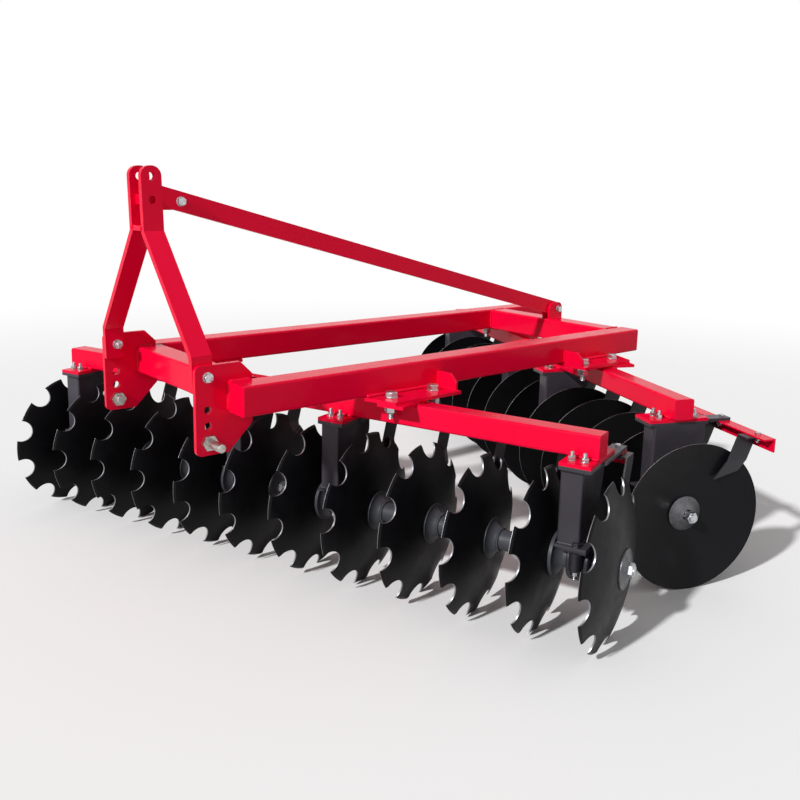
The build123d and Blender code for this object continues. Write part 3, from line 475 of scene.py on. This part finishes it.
DISC_COAT = {row: disc_finish(row) for row in ROWS}
print("made", [material.name for material in DISC_COAT.values()])

# %% [markdown]
# ## Zinc plate
#
# Bolts, nuts and the axles' ends are zinc plated. The hitch pins are a warmer bare steel, and the
# end washers are oiled dark steel. A plating bath leaves a fine mottle of lighter and darker
# crystals, and handling leaves larger stains. All of it is bare metal, so Metallic is plainly 1
# and only colour, roughness and a slight relief vary.

# %% Zinc plate
STAIN_SIZE, STAIN_NOISE, STAIN_RELIEF = 0.02, (0.35, 0.7), 0.00003
CRYSTAL_SHARE, STAIN_SHARE, PLATED_ROUNDING = 0.45, 0.55, 0.0008


def plating():
    """Colour, roughness and normal of plated steel: a fine mottle between two tones."""
    tree, given, out = new_group(
        "plating", {"Light": "Color", "Dark": "Color", "Smooth": "Float", "Dull": "Float",
                    "Mottle": "Float"}, FINISH_OUTPUTS)
    place = join(tree, "TexCoord").outputs["Object"]
    crystals = join(tree, "TexVoronoi", Vector=place, Scale=maths(tree, "DIVIDE", 1.0, given["Mottle"]))
    tone = join(tree, "SeparateColor", i0=crystals.outputs["Color"]).outputs[0]
    stain = remap(tree, noise(tree, place, STAIN_SIZE, detail=3.0), *STAIN_NOISE)
    mixed = maths(tree, "MULTIPLY_ADD", tone, CRYSTAL_SHARE, maths(tree, "MULTIPLY", stain, STAIN_SHARE))
    tree.links.new(blend(tree, mixed, given["Light"], given["Dark"]), out["Color"])
    tree.links.new(remap(tree, mixed, 0.0, 1.0, given["Smooth"], given["Dull"]), out["Roughness"])
    rounded = join(tree, "Bevel", {"samples": BEVEL_SAMPLES}, Radius=PLATED_ROUNDING).outputs[0]
    relief = join(tree, "Bump", Strength=1.0, Distance=STAIN_RELIEF, Height=stain, Normal=rounded)
    tree.links.new(relief.outputs[0], out["Normal"])
    return tree


PLATING = plating()


def plated(name, **values):
    """Plated or bare steel: the plating group on a metallic shader."""
    material, shader = finished(name, PLATING, values)
    shader.inputs["Metallic"].default_value = 1.0
    return material


ZINC = plated("zinc", Light=(0.66, 0.67, 0.70, 1), Dark=(0.34, 0.35, 0.37, 1),
              Smooth=0.22, Dull=0.44, Mottle=0.004)
PIN_STEEL = plated("pin_steel", Light=(0.62, 0.60, 0.57, 1), Dark=(0.34, 0.31, 0.29, 1),
                   Smooth=0.22, Dull=0.40, Mottle=0.006)
DARK_STEEL = plated("oiled_steel", Light=(0.17, 0.17, 0.18, 1), Dark=(0.08, 0.08, 0.09, 1),
                    Smooth=0.36, Dull=0.52, Mottle=0.003)
print("made", ZINC.name, PIN_STEEL.name, DARK_STEEL.name)

# %% [markdown]
# ## Finishes on the construction's own parts
#
# Each part of the construction keeps its shape and gets one of these finishes by its name.

# %% Finishes by name
FINISHES = [
    ("lower_hitch_pin_", PIN_STEEL), ("end_washers_", DARK_STEEL), ("axle_", ZINC),
    ("spools_", GREY_BLACK), ("discs_front", DISC_COAT["front"]), ("discs_rear", DISC_COAT["rear"]),
    ("leg_", LEG_BLACK), ("bearing_housings_", BLACK), ("scrapers_", BLACK), ("", RED),
]
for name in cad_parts:
    finish = next(material for start, material in FINISHES if name.startswith(start))
    for slot in bpy.data.objects[name].material_slots:
        slot.material = finish
print("finished", len(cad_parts), "parts")

# %% [markdown]
# ## Small parts as closed skins
#
# A bolt head, a stud and a weld bead are all the same kind of shape: rings of points laid one
# after another along an axis. The rings are worked out with numpy as one array, and a single
# function skins them, with a fan at each end, so every piece is closed. Many copies go into one
# mesh.

# %% Skin over rings
SHARP_ANGLE = 32


def ring_faces(rings, around):
    """Triangles over rings of points that are numbered ring by ring: two between neighbouring
    points of neighbouring rings, and two fans to the middles of the ends, numbered last."""
    i = np.arange(around)
    j = (i + 1) % around
    below = np.arange(rings - 1)[:, None] * around
    a, b = below + i, below + j
    sides = np.stack([a, b, b + around, a, b + around, a + around], axis=-1).reshape(-1, 3)
    last = (rings - 1) * around
    first_fan = np.stack([j, i, np.full(around, rings * around)], axis=-1)
    last_fan = np.stack([last + i, last + j, np.full(around, rings * around + 1)], axis=-1)
    return np.concatenate([sides, first_fan, last_fan])


def skin(name, shapes, material, body="frame"):
    """One closed mesh from arrays of (copies, rings, points round, 3). Seen from the last ring's
    end the points run anticlockwise, so that the faces look outwards."""
    points, faces, start = [], [], 0
    for shape in shapes:
        copies, rings, around, _ = shape.shape
        ends = shape[:, [0, -1]].mean(axis=2)
        corners = np.concatenate([shape.reshape(copies, -1, 3), ends], axis=1)
        steps = start + np.arange(copies) * corners.shape[1]
        faces.append((ring_faces(rings, around)[None] + steps[:, None, None]).reshape(-1, 3))
        points.append(corners.reshape(-1, 3))
        start += copies * corners.shape[1]
    points, faces = np.concatenate(points), np.concatenate(faces)
    mesh = bpy.data.meshes.new(name)
    mesh.from_pydata(points, [], faces)
    mesh.shade_smooth()
    mesh.set_sharp_from_angle(angle=math.radians(SHARP_ANGLE))
    mesh.materials.append(material)
    piece = bpy.data.objects.new(name, mesh)
    bpy.context.scene.collection.objects.link(piece)
    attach(piece, body)
    print(name, len(faces), "triangles")


# %% [markdown]
# ## Bolts, nuts and studs
#
# A hexagon is a circle whose radius follows its nearest flat: the flat's distance divided by the
# cosine of the angle to the middle of that flat. A cone limits that radius near the end faces,
# which cuts the corners off as on a real nut. A thread is a turned zigzag between crest and root.

# %% Shapes of fasteners
ROUND_POINTS, THREAD_POINTS = 24, 16
# Height of a hexagon's cut corners, and the cone's radius over it from the face inwards, as
# shares of the distance across the flats. The corners reach 0.577, so 0.58 cuts nothing.
CORNER_CUT, CORNER_CONE = 0.06, (0.475, 0.53, 0.58)
# Shares of a thread's pitch: its depth, and how far its last two rings stand in.
THREAD_DEPTH, THREAD_END = 0.55, (0.3, 0.9)


def circle(points):
    """Angles of points spread evenly round a circle."""
    return np.linspace(0, 2 * np.pi, points, endpoint=False)


def rings_round_z(radius, heights):
    """Rings from radii in an array of (rings, points): the radius times the cosine and the sine
    of the point's angle, at the ring's height."""
    angle = circle(radius.shape[1])
    return np.stack([radius * np.cos(angle), radius * np.sin(angle),
                     np.broadcast_to(heights[:, None], radius.shape)], axis=-1)


def turned(profile, points=ROUND_POINTS):
    """Turned shape along Z from (radius, height) pairs: each ring is a circle."""
    radius, heights = np.asarray(profile, float).T
    return rings_round_z(np.broadcast_to(radius[:, None], (len(radius), points)), heights)


def washer(radius, thickness, cut):
    """Washer along Z. Its free face is cut back by cut, over a height 0.1 mm less than that."""
    return turned([(radius, 0.0), (radius, thickness - cut + 0.0001), (radius - cut, thickness)])


def hexagon(flats, low, high, both_ends=False):
    """Hexagonal head or nut along Z, with its corners cut by a cone at the upper end or both."""
    to_flat = (circle(ROUND_POINTS) + np.pi / 6) % (np.pi / 3) - np.pi / 6
    flat_radius = flats / 2 / np.cos(to_flat)
    cut = CORNER_CUT * flats
    heights = np.array([low, low + cut / 2, low + cut, high - cut, high - cut / 2, high])
    cone = flats * np.array(CORNER_CONE + CORNER_CONE[::-1])
    if not both_ends:
        cone[:3] = CORNER_CONE[-1] * flats
    return rings_round_z(np.minimum(flat_radius, cone[:, None]), heights)


def thread(diameter, low, high, pitch):
    """Threaded stud along Z: a zigzag of roots and crests, with a chamfered end."""
    count = max(2, int(round((high - low) / pitch)))
    heights = np.linspace(low, high, 2 * count + 1)
    root = np.arange(2 * count + 1) % 2 == 0
    radius = diameter / 2 - np.where(root, THREAD_DEPTH * pitch, 0.0)
    radius[-2:] = diameter / 2 - np.array(THREAD_END) * pitch
    return turned(np.stack([radius, heights], axis=-1), THREAD_POINTS)


print("a hexagon has", hexagon(0.03, 0, 0.01).shape, "points")

# %% [markdown]
# ## Standing them in their places
#
# Every fastener is drawn once along Z, and its copies are turned and moved as arrays. Each nut
# and head stopped at its own angle when it was tightened, so each gets a turn of its own from a
# seeded generator. A hexagon repeats after a sixth of a circle, so the turn stays within that.

# %% Heads and nuts in their places
UP, DOWN = (0, 0, 1), (0, 0, -1)
rng = np.random.default_rng(4)


def random_turns(count):
    """A turn for each hexagon, anywhere in a sixth of a circle."""
    return rng.uniform(0, np.pi / 3, count)


def stand(shape, places, up=UP, turns=0.0):
    """Copies of a shape made along Z: its Z is laid along up, it is turned about that by its own
    angle, and moved to its place. The three axes stay right-handed, so no copy is mirrored."""
    places = np.atleast_2d(places)
    up = np.asarray(up, float) / np.linalg.norm(up)
    side = np.cross((0.0, 1.0, 0.0) if abs(up[1]) < 0.9 else (1.0, 0.0, 0.0), up)
    side /= np.linalg.norm(side)
    other = np.cross(up, side)
    turns = np.broadcast_to(turns, len(places))
    cos, sin = np.cos(turns)[:, None], np.sin(turns)[:, None]
    axes = np.stack([cos * side + sin * other, cos * other - sin * side,
                     np.broadcast_to(up, (len(places), 3))], axis=1)
    return np.einsum("rac,ncd->nrad", shape, axes) + places[:, None, None, :]


def head(seats, up, flats, top, on=None, both_ends=False):
    """Bolt heads that end at top above their seats, on washers of radius, thickness and cut."""
    washers = [stand(washer(*on), seats, up)] if on else []
    shape = hexagon(flats, on[1] if on else 0.0, top, both_ends)
    return washers + [stand(shape, seats, up, random_turns(len(seats)))]


def nut(seats, up, flats, top, stud, on=None):
    """Nuts like the heads, with both ends cut, and studs of diameter, start, end and pitch."""
    return head(seats, up, flats, top, on, both_ends=True) + [stand(thread(*stud), seats, up)]


print("two washers side by side:", stand(washer(0.012, 0.0024, 0.0005), [(0, 0, 0), (0.1, 0, 0)]).shape)

# %% [markdown]
# ## Seat bolts
#
# Four bolts hold each leg under the gang beam, two on each side of the tube. Their studs stand up
# through the seat plate, with a plain washer and a nut.

# %% Seat bolts
SEAT_TOP = 0.620
SEAT_BOLTS_ALONG, SEAT_BOLTS_ACROSS = (-0.009, 0.032), (-0.075, 0.075)

for row, facts in ROWS.items():
    seats = np.array([(leg + facts["side"] * s, facts["beam"] + n, SEAT_TOP)
                      for leg in facts["legs"] for s in SEAT_BOLTS_ALONG for n in SEAT_BOLTS_ACROSS])
    skin("seat_bolts_" + row,
         nut(in_row(row, seats), UP, flats=0.022, top=0.0148, stud=(0.014, 0.0145, 0.030, 0.0025),
             on=(0.0140, 0.0026, 0.0005)), ZINC)

# %% [markdown]
# ## Clamp bolts
#
# Two long bolts at each crossing pull the frame beam's plate down on the gang beam's plate. The
# head is above and the nut hangs below, with a good length of thread under it.

# %% Clamp bolts
CLAMP_X = 0.510
CLAMP_BOLT_SPACING, CLAMP_BOLT_SETBACK = 0.194, 0.026
HEAD_SEAT, NUT_SEAT = 0.724, 0.700


def clamp_places(row, side):
    """Bolt places of one clamp: where the gang beam's middle line crosses the bolts' line, moved
    to the square end of the plate and then half the bolts' spacing both ways."""
    facts = ROWS[row]
    angle = math.radians(facts["angle"])
    x = side * CLAMP_X
    along = (x - facts["middle"][0] + facts["beam"] * math.sin(angle)) / math.cos(angle)
    y = facts["middle"][1] + along * math.sin(angle) + facts["beam"] * math.cos(angle)
    y += facts["side"] * CLAMP_BOLT_SETBACK
    return [(x, y + step * CLAMP_BOLT_SPACING / 2) for step in (-1, 1)]


clamp_points = np.array([place for row in ROWS for side in (1, -1) for place in clamp_places(row, side)])
heads = drawn(np.column_stack([clamp_points, np.full(len(clamp_points), HEAD_SEAT)]))
nuts = drawn(np.column_stack([clamp_points, np.full(len(clamp_points), NUT_SEAT)]))
skin("clamp_bolts",
     head(heads, UP, flats=0.039, top=0.0205, on=(0.0240, 0.0038, 0.0007))
     + nut(nuts, DOWN, flats=0.041, top=0.0295, stud=(0.023, 0.0285, 0.052, 0.003),
           on=(0.0245, 0.0066, 0.0007)), ZINC)

# %% [markdown]
# ## Housing bolts
#
# Each bearing housing hangs under its leg by two bolts: heads on the leg's foot, which were
# sprayed over with it, and plated nuts under the housing's bosses. The casting swells round each
# bolt, so a turned collar stands round the boss.

# %% Housing bolts
FOOT_TOP, BOSS_BOTTOM = 0.350, 0.270
HOUSING_BOLTS_ALONG, HOUSING_BOLTS_ACROSS = 0.031, (-0.081, 0.081)
# Radius and height of the casting round a bolt, from the boss's lower end to the housing's flange.
BOSS_COLLAR = ((0.0175, 0.001), (0.0200, 0.0035), (0.0215, 0.020), (0.0215, 0.052), (0.0235, 0.062))

for row, facts in ROWS.items():
    spots = np.array([(leg + facts["side"] * HOUSING_BOLTS_ALONG, n, 0.0)
                      for leg in facts["legs"] for n in HOUSING_BOLTS_ACROSS])
    tops, ends = in_row(row, spots + (0, 0, FOOT_TOP)), in_row(row, spots + (0, 0, BOSS_BOTTOM))
    skin("housing_nuts_" + row, nut(ends, DOWN, flats=0.024, top=0.013,
                                    stud=(0.016, 0.0125, 0.027, 0.0025)), ZINC)
    skin("housing_bosses_" + row,
         head(tops, UP, flats=0.024, top=0.013, on=(0.0148, 0.0030, 0.0006))
         + [stand(turned(BOSS_COLLAR), ends)], BLACK)

# %% [markdown]
# ## Scraper bolts
#
# The angle bar hangs under the legs' tongues, and each scraper's tab under the angle bar, with
# one small bolt each.

# %% Tongue and scraper bolts
TONGUE_TOP, BAR_TOP, BAR_BOTTOM, TAB_BOTTOM = 0.608, 0.596, 0.590, 0.584
BAR_BOLTS_BEHIND, TAB_BESIDE_DISC = 0.218, 0.045
PITCH, DISCS_IN_ROW, DISCS_IN_GANG = 0.230, 12, 6


def disc_along(number):
    """Place along its row of a disc, numbered from 0 at one end: the row's middle is its origin."""
    return (number - (DISCS_IN_ROW - 1) / 2) * PITCH


for row, facts in ROWS.items():
    tongues = np.array([(leg + facts["side"] * facts["tongue"], BAR_BOLTS_BEHIND, 0.0)
                        for leg in facts["legs"]])
    tabs = np.array([(disc_along(number) - facts["side"] * TAB_BESIDE_DISC, BAR_BOLTS_BEHIND, 0.0)
                     for number in range(DISCS_IN_ROW)])
    shapes = []
    for spots, top, bottom in ((tongues, TONGUE_TOP, BAR_BOTTOM), (tabs, BAR_TOP, TAB_BOTTOM)):
        shapes += head(in_row(row, spots + (0, 0, top)), UP, flats=0.0185, top=0.0075)
        shapes += nut(in_row(row, spots + (0, 0, bottom)), DOWN, flats=0.0185, top=0.012,
                      stud=(0.012, 0.0115, 0.019, 0.002), on=(0.012, 0.0024, 0.0005))
    skin("scraper_bolts_" + row, shapes, ZINC)

# %% [markdown]
# ## Mast and stay bolts
#
# These bolts lie across the machine: one through each hitch plate and mast foot, one through the
# stay's front end and its ear, and one through the bracket at the rear.

# %% Mast and stay bolts
# Head's seat and nut's seat across the machine, place behind the hitch pins, height and diameter.
CROSS_BOLTS = [(0.365, 0.329, 0.0, 0.845, 0.0185), (-0.365, -0.329, 0.0, 0.845, 0.0185),
               (0.010, -0.026, 0.100, 1.374, 0.018), (0.023, -0.023, 2.080, 0.870, 0.018)]
# Their washers' thickness and cut, and the rest as shares of the diameter.
CROSS_WASHER, WASHER_RADIUS = (0.0035, 0.0006), 0.92
FLATS, HEAD_HEIGHT, NUT_HEIGHT, STUD_END = 1.5, 0.62, 0.85, 1.35


def cross_bolt(head_at, nut_at, y, z, size):
    """Bolt along X from its head's seat to its nut's seat, with washers at both ends."""
    out = 1 if head_at > nut_at else -1
    on = (WASHER_RADIUS * size, *CROSS_WASHER)
    return (head(drawn([(head_at, y, z)]), (out, 0, 0), FLATS * size, on[1] + HEAD_HEIGHT * size, on)
            + nut(drawn([(nut_at, y, z)]), (-out, 0, 0), FLATS * size, on[1] + NUT_HEIGHT * size,
                  (size, NUT_HEIGHT * size, STUD_END * size, 0.0028), on))


shapes = [shape for bolt in CROSS_BOLTS for shape in cross_bolt(*bolt)]
skin("mast_and_stay_bolts", shapes, ZINC)

# %% [markdown]
# ## Threads of the hitch pins
#
# Each hitch pin is drawn up by a nut inside its plate, and its threaded end stands out of the nut.

# %% Threads of the hitch pins
PIN_HEIGHT, PIN_NUT_END = 0.636, 0.327
pin_thread = thread(diameter=0.0262, low=0.0, high=0.011, pitch=0.003)
skin("pin_threads", [stand(pin_thread, drawn([(side * PIN_NUT_END, 0.0, PIN_HEIGHT)]), (-side, 0, 0))
                     for side in (1, -1)], PIN_STEEL)

# %% [markdown]
# ## Threads on the axle ends
#
# The square axle is turned round and threaded past its nuts. The short thread that shows is a
# sleeve over the construction's plain stub, and it turns with its gang.

# %% Axle threads
AXLE_THREAD, AXLE_THREAD_PITCH, AXLE_THREAD_START = 0.0312, 0.0025, -0.001
DISH_DEPTH, HUB_DEPTH = 0.04988, 0.05490
# Ends of a gang along its own axle. Columns: side, disc's flat, washer, nut, stub.
GANG_ENDS = ((-1, DISH_DEPTH, 0.030, 0.028, 0.007), (1, HUB_DEPTH, 0.016, 0.014, 0.003))


def on_axle(row, along):
    """Places on the row's axle, given along the direction that the discs bulge to."""
    along = np.atleast_1d(along) * ROWS[row]["side"]
    return in_row(row, np.column_stack([along, np.zeros(len(along)), np.full(len(along), AXLE_HEIGHT)]))


def gangs():
    """Each gang as its row, its body and the number of its first disc along the bulge."""
    for row, facts in ROWS.items():
        for first in (0, DISCS_IN_GANG):
            end = "left" if (first > 0) == (facts["side"] > 0) else "right"
            yield row, "gang_%s_%s" % (row, end), first


for row, body, first in gangs():
    sleeves = []
    for side, flat, washer_depth, nut_depth, stub in GANG_ENDS:
        disc_number = first if side < 0 else first + DISCS_IN_GANG - 1
        start = disc_along(disc_number) + flat + side * (washer_depth + nut_depth)
        direction = row_axes(row)[0] * ROWS[row]["side"] * side
        sleeve = thread(AXLE_THREAD, AXLE_THREAD_START, stub, AXLE_THREAD_PITCH)
        sleeves.append(stand(sleeve, on_axle(row, start), direction))
    skin(body.replace("gang", "axle_threads"), sleeves, ZINC, body)

# %% [markdown]
# ## Weld beads
#
# Where two plates meet in a corner, the welder leaves a rounded bead with a scale for each drop.
# Its cross-section is a quarter circle with its corner sunk into the joint. Along the run the
# radius swells over each scale and wanders a little, and it runs out at both ends.

# %% Weld beads
BEAD, CORNER_SUNK = 0.006, 0.001
SCALE_LENGTH, RINGS_IN_SCALE, ARC_POINTS = 0.006, 4, 6
# Shares of the bead's size: the swell over a scale, the wander, and the size at both ends.
SWELL, WANDER, END_SIZE = 0.10, 0.05, 0.35
# Length over which the wander turns by one radian, and how much of a scale runs ahead.
WANDER_LENGTH, AHEAD = 0.021, 0.30


def weld(start, end, side_a, side_b, size=BEAD):
    """Fillet weld along a line. The radius is the size times a swell, which is a half circle over
    each scale, times a slow wander, times a run-out near both ends. The arc turns evenly from
    side_a to side_b, which point along the two walls, runs ahead in its middle like a drop, and
    is closed by a corner inside the walls."""
    start, end, side_a, side_b = (np.asarray(v, float) for v in (start, end, side_a, side_b))
    run = np.linalg.norm(end - start)
    travel = (end - start) / run
    if np.dot(np.cross(side_a, side_b), travel) < 0:
        side_a, side_b = side_b, side_a
    scales = max(3, round(run / SCALE_LENGTH))
    t = np.linspace(0, run, RINGS_IN_SCALE * scales + 1)
    phase = np.arange(len(t)) % RINGS_IN_SCALE / RINGS_IN_SCALE
    wander = 1 + WANDER * np.sin(t / WANDER_LENGTH + rng.uniform(0, 6))
    swell = (1 - SWELL + SWELL * np.sqrt(1 - (2 * phase - 1) ** 2)) * wander
    out = np.clip(np.minimum(t, run - t) / size, 0, 1)
    radius = size * swell * (END_SIZE + (1 - END_SIZE) * np.sqrt(1 - (1 - out) ** 2))
    opening = math.acos(np.dot(side_a, side_b))
    part = np.linspace(0, 1, ARC_POINTS)[:, None]
    arc = (np.sin((1 - part) * opening) * side_a + np.sin(part * opening) * side_b) / math.sin(opening)
    ahead = AHEAD * SCALE_LENGTH * out[:, None, None] * np.sin(part * np.pi) * travel
    corner = np.broadcast_to(-CORNER_SUNK * (side_a + side_b), (len(t), 1, 3))
    ring = np.concatenate([arc * radius[:, None, None] + ahead, corner], axis=1)
    return (start + t[:, None] * travel)[:, None, :] + ring


def in_drawing(start, end, side_a, side_b, size=BEAD):
    """A weld given in the drawing's axes."""
    return weld(drawn(start), drawn(end), side_a, side_b, size)[None]


def along_row(row, start, end, side_a, side_b, size=BEAD):
    """A weld given in a row's axes."""
    side_a, side_b = np.asarray(side_a) @ row_axes(row), np.asarray(side_b) @ row_axes(row)
    return weld(in_row(row, start), in_row(row, end), side_a, side_b, size)[None]


print("a 100 mm weld has", weld((0, 0, 0), (0.1, 0, 0), (0, 1, 0), (0, 0, 1)).shape, "points")

# %% [markdown]
# ## Welds round the spools
#
# Each plain spool is a pressed bell welded on a tube. The weld runs once round the tube. It is
# made like the straight bead, on a line that is bent into a closed circle.

# %% Ring welds
SPOOL_WELD_RADIUS, SPOOL_WELD_SIZE, WELD_PAST_HUB = 0.0375, 0.0040, 0.0345
WELDED_SPOOLS = (1, 2, 3)


def ring_weld(radius, size):
    """Bead round Z: its middle runs on a circle. Its own radius is 0.85 of the size at the start
    of each scale and 1.1 of it halfway. All scales are whole, so the end meets the start."""
    scales = int(2 * np.pi * radius / SCALE_LENGTH)
    turn = np.linspace(0, 2 * np.pi, 2 * scales + 1)[:, None]
    swell = size * (0.85 + 0.25 * (np.arange(2 * scales + 1)[:, None] % 2))
    out = radius + swell * np.cos(circle(ARC_POINTS))
    up = np.broadcast_to(-swell * np.sin(circle(ARC_POINTS)), out.shape)
    return np.stack([out * np.cos(turn), out * np.sin(turn), up], axis=-1)


for row, body, first in gangs():
    spools = np.array([first + gap for gap in WELDED_SPOOLS])
    places = on_axle(row, disc_along(spools) + HUB_DEPTH + WELD_PAST_HUB)
    beads = stand(ring_weld(SPOOL_WELD_RADIUS, SPOOL_WELD_SIZE), places, row_axes(row)[0])
    skin(body.replace("gang", "spool_welds"), [beads], GREY_BLACK, body)

# %% [markdown]
# ## Welds of the frame
#
# The hitch plates are welded to the beams' inner faces, the front cross beam to the hitch
# plates, and the rear cross beam between the beams.

# %% Welds of the frame
BEAM_IN, BEAM_OUT, PLATE_IN = 0.365, 0.465, 0.349
LOW, HIGH = 0.724, 0.824
FORWARD, BACKWARD = (0, -1, 0), (0, 1, 0)

welds = []
for side in (1, -1):
    outwards, inwards = (side, 0, 0), (-side, 0, 0)
    # Place across, first wall, start and end behind the hitch pins and in height, second wall
    # and size.
    runs = [
        (BEAM_IN, outwards, (0.073, HIGH - 0.003), (0.150, HIGH - 0.003), UP, 0.009),
        (BEAM_IN, outwards, (0.073, LOW + 0.003), (0.100, LOW + 0.003), DOWN, 0.009),
        (BEAM_IN, outwards, (0.073, LOW + 0.004), (0.073, HIGH - 0.004), FORWARD, 0.008),
        (PLATE_IN, inwards, (0.090, HIGH), (0.156, HIGH), UP, 0.008),
        (PLATE_IN, inwards, (0.085, LOW + 0.006), (0.085, HIGH - 0.006), FORWARD, 0.008),
        (PLATE_IN, inwards, (0.090, LOW), (0.140, LOW), DOWN, 0.008),
        (BEAM_IN, inwards, (2.014, HIGH - 0.004), (2.106, HIGH - 0.004), UP, 0.0075),
        (BEAM_IN, inwards, (2.010, LOW + 0.006), (2.010, HIGH - 0.006), FORWARD, 0.007),
        (BEAM_IN, inwards, (2.110, LOW + 0.006), (2.110, HIGH - 0.006), BACKWARD, 0.007)]
    welds += [in_drawing((side * x, *start), (side * x, *end), wall, other, size=size)
              for x, wall, start, end, other, size in runs]
skin("frame_welds", welds, RED)

# %% [markdown]
# ## Welds of the mast and the bracket
#
# Each side of the mast is one flat bar, bent over at the joint, so there is no seam on it. Where
# the two bars meet at the foot of the gap they are welded across, and the bead climbs a little
# way up each cheek. The mast leans back, so its welds are given upright over its bolt and leant.

# %% Welds of the mast and the bracket
MAST_LEAN = math.radians(1.3)
MAST_BOLT = (0.0, -0.008, 0.845)
HALF_GAP, HALF_BAR, BEND = 0.035, 0.035, 0.435
BRACKET_FACE, BRACKET_ENDS = 0.023, (2.020, 2.108)


def leant(point, origin=MAST_BOLT):
    """A point over the mast's bolt or, with origin 0, a direction, turned back by the lean."""
    x, y, h = point
    cos, sin = math.cos(MAST_LEAN), math.sin(MAST_LEAN)
    return np.array([x, y * cos - h * sin, y * sin + h * cos]) + origin


def on_mast(start, end, side_a, side_b):
    """A weld given on the upright mast."""
    return in_drawing(leant(start), leant(end), leant(side_a, 0), leant(side_b, 0), size=0.004)


welds = []
for face in (-HALF_BAR, HALF_BAR):
    away = (0, math.copysign(1, face), 0)
    welds.append(on_mast((-HALF_GAP, face, BEND), (HALF_GAP, face, BEND), UP, away))
    welds += [on_mast((side * HALF_GAP, face, BEND + 0.001), (side * HALF_GAP, face, BEND + 0.015),
                      (-side, 0, 0), away) for side in (1, -1)]
for side in (1, -1):
    start, end = ((side * BRACKET_FACE, y, HIGH) for y in BRACKET_ENDS)
    welds.append(in_drawing(start, end, (side, 0, 0), UP))
skin("mast_welds", welds, RED)

# %% [markdown]
# ## Welds of seats and clamps
#
# Seat plates are welded under the gang beams along both sides of the tube. The clamp plates are
# welded along the frame beams, each with its gusset, which stands on the plate near its square
# end. The other end of a clamp plate follows the gang beam's slant.

# %% Welds of the seats
GANG_HALF = 0.040
SEAT_FROM, SEAT_TO, SEAT_BEAD = 0.036, 0.065, 0.0075

seats = []
for row, facts in ROWS.items():
    for leg in facts["legs"]:
        ends = sorted((leg - facts["side"] * SEAT_FROM, leg + facts["side"] * SEAT_TO))
        for way in (-1, 1):
            n = facts["beam"] + way * GANG_HALF
            start, end = ((s, n, SEAT_TOP + 0.002) for s in ends)
            seats.append(along_row(row, start, end, (0, way, 0), UP, size=SEAT_BEAD))
skin("seat_welds", seats, RED)

# %% Welds of the clamps
SLANT_REACH, SQUARE_END = 0.127, 0.198
GUSSET_THICKNESS, GUSSET_TOP, GUSSET_OUT = 0.010, 0.054, 0.094

clamps = []
for row, facts in ROWS.items():
    square, angle = facts["side"], math.radians(facts["angle"])
    for side in (1, -1):
        (x, near), (_, far) = clamp_places(row, side)
        edge = side * BEAM_OUT
        crossing = (near + far) / 2 - square * CLAMP_BOLT_SETBACK
        slant = crossing - square * SLANT_REACH / math.cos(angle) + (edge - x) * math.tan(angle)
        end = crossing + square * SQUARE_END
        gusset = end - square * GUSSET_THICKNESS
        out, to_slant, to_square = (side, 0, 0), (0, -square, 0), (0, square, 0)
        clamps += [
            in_drawing((edge, slant + square * 0.006, LOW + 0.002),
                       (edge, gusset - square * 0.004, LOW + 0.002), out, UP, size=0.008),
            in_drawing((edge, gusset, LOW + 0.004), (edge, gusset, LOW + GUSSET_TOP), out, to_slant),
            in_drawing((edge + side * 0.004, gusset, LOW), (edge + side * GUSSET_OUT, gusset, LOW),
                       to_slant, UP),
            in_drawing((edge, end, LOW + 0.004), (edge, end, LOW + GUSSET_TOP), out, to_square)]
skin("clamp_welds", clamps, RED)

# %% [markdown]
# ## Welds of the lower clamp plates and the legs
#
# The lower clamp plates are welded on top of the gang beams, along both sides of the tube and
# across it. The legs' channels are welded to their feet and to the flanges over them, along the
# front face and the outer side.

# %% Welds of the lower clamp plates
LOWER_HALF, ALONG_HALF, ACROSS_HALF = 0.052, 0.050, 0.032

plates = []
for row, facts in ROWS.items():
    for side in (1, -1):
        points = np.array([(x, y, 0.0) for x, y in clamp_places(row, side)]) - [*facts["middle"], 0.0]
        middle = (points @ row_axes(row).T)[:, 0].mean()
        for way in (-1, 1):
            n, s = facts["beam"] + way * GANG_HALF, middle + way * LOWER_HALF
            along = ((middle + end * ALONG_HALF, n, NUT_SEAT - 0.002) for end in (-1, 1))
            across = ((s, facts["beam"] + end * ACROSS_HALF, NUT_SEAT) for end in (-1, 1))
            plates += [along_row(row, *along, (0, way, 0), DOWN, size=0.0075),
                       along_row(row, *across, (way, 0, 0), UP)]
skin("lower_clamp_welds", plates, RED)

# %% Welds of the legs
LEG_TOP = BAR_TOP
LEG_HALF, FRONT_HALF, FOOT_REAR, LEG_REAR = 0.038, 0.037, 0.044, 0.108

feet = []
for row, facts in ROWS.items():
    face = facts["beam"] - facts["leg_face"]
    for leg in facts["legs"]:
        outer = leg + facts["side"] * LEG_HALF
        for height, rear, wall in ((FOOT_TOP, FOOT_REAR, UP), (LEG_TOP, LEG_REAR, DOWN)):
            front = ((leg + end * FRONT_HALF, face, height) for end in (-1, 1))
            side = ((outer, n, height) for n in (face + 0.002, facts["beam"] + rear))
            feet += [along_row(row, *front, FORWARD, wall),
                     along_row(row, *side, (facts["side"], 0, 0), wall)]
skin("leg_welds", feet, LEG_BLACK)
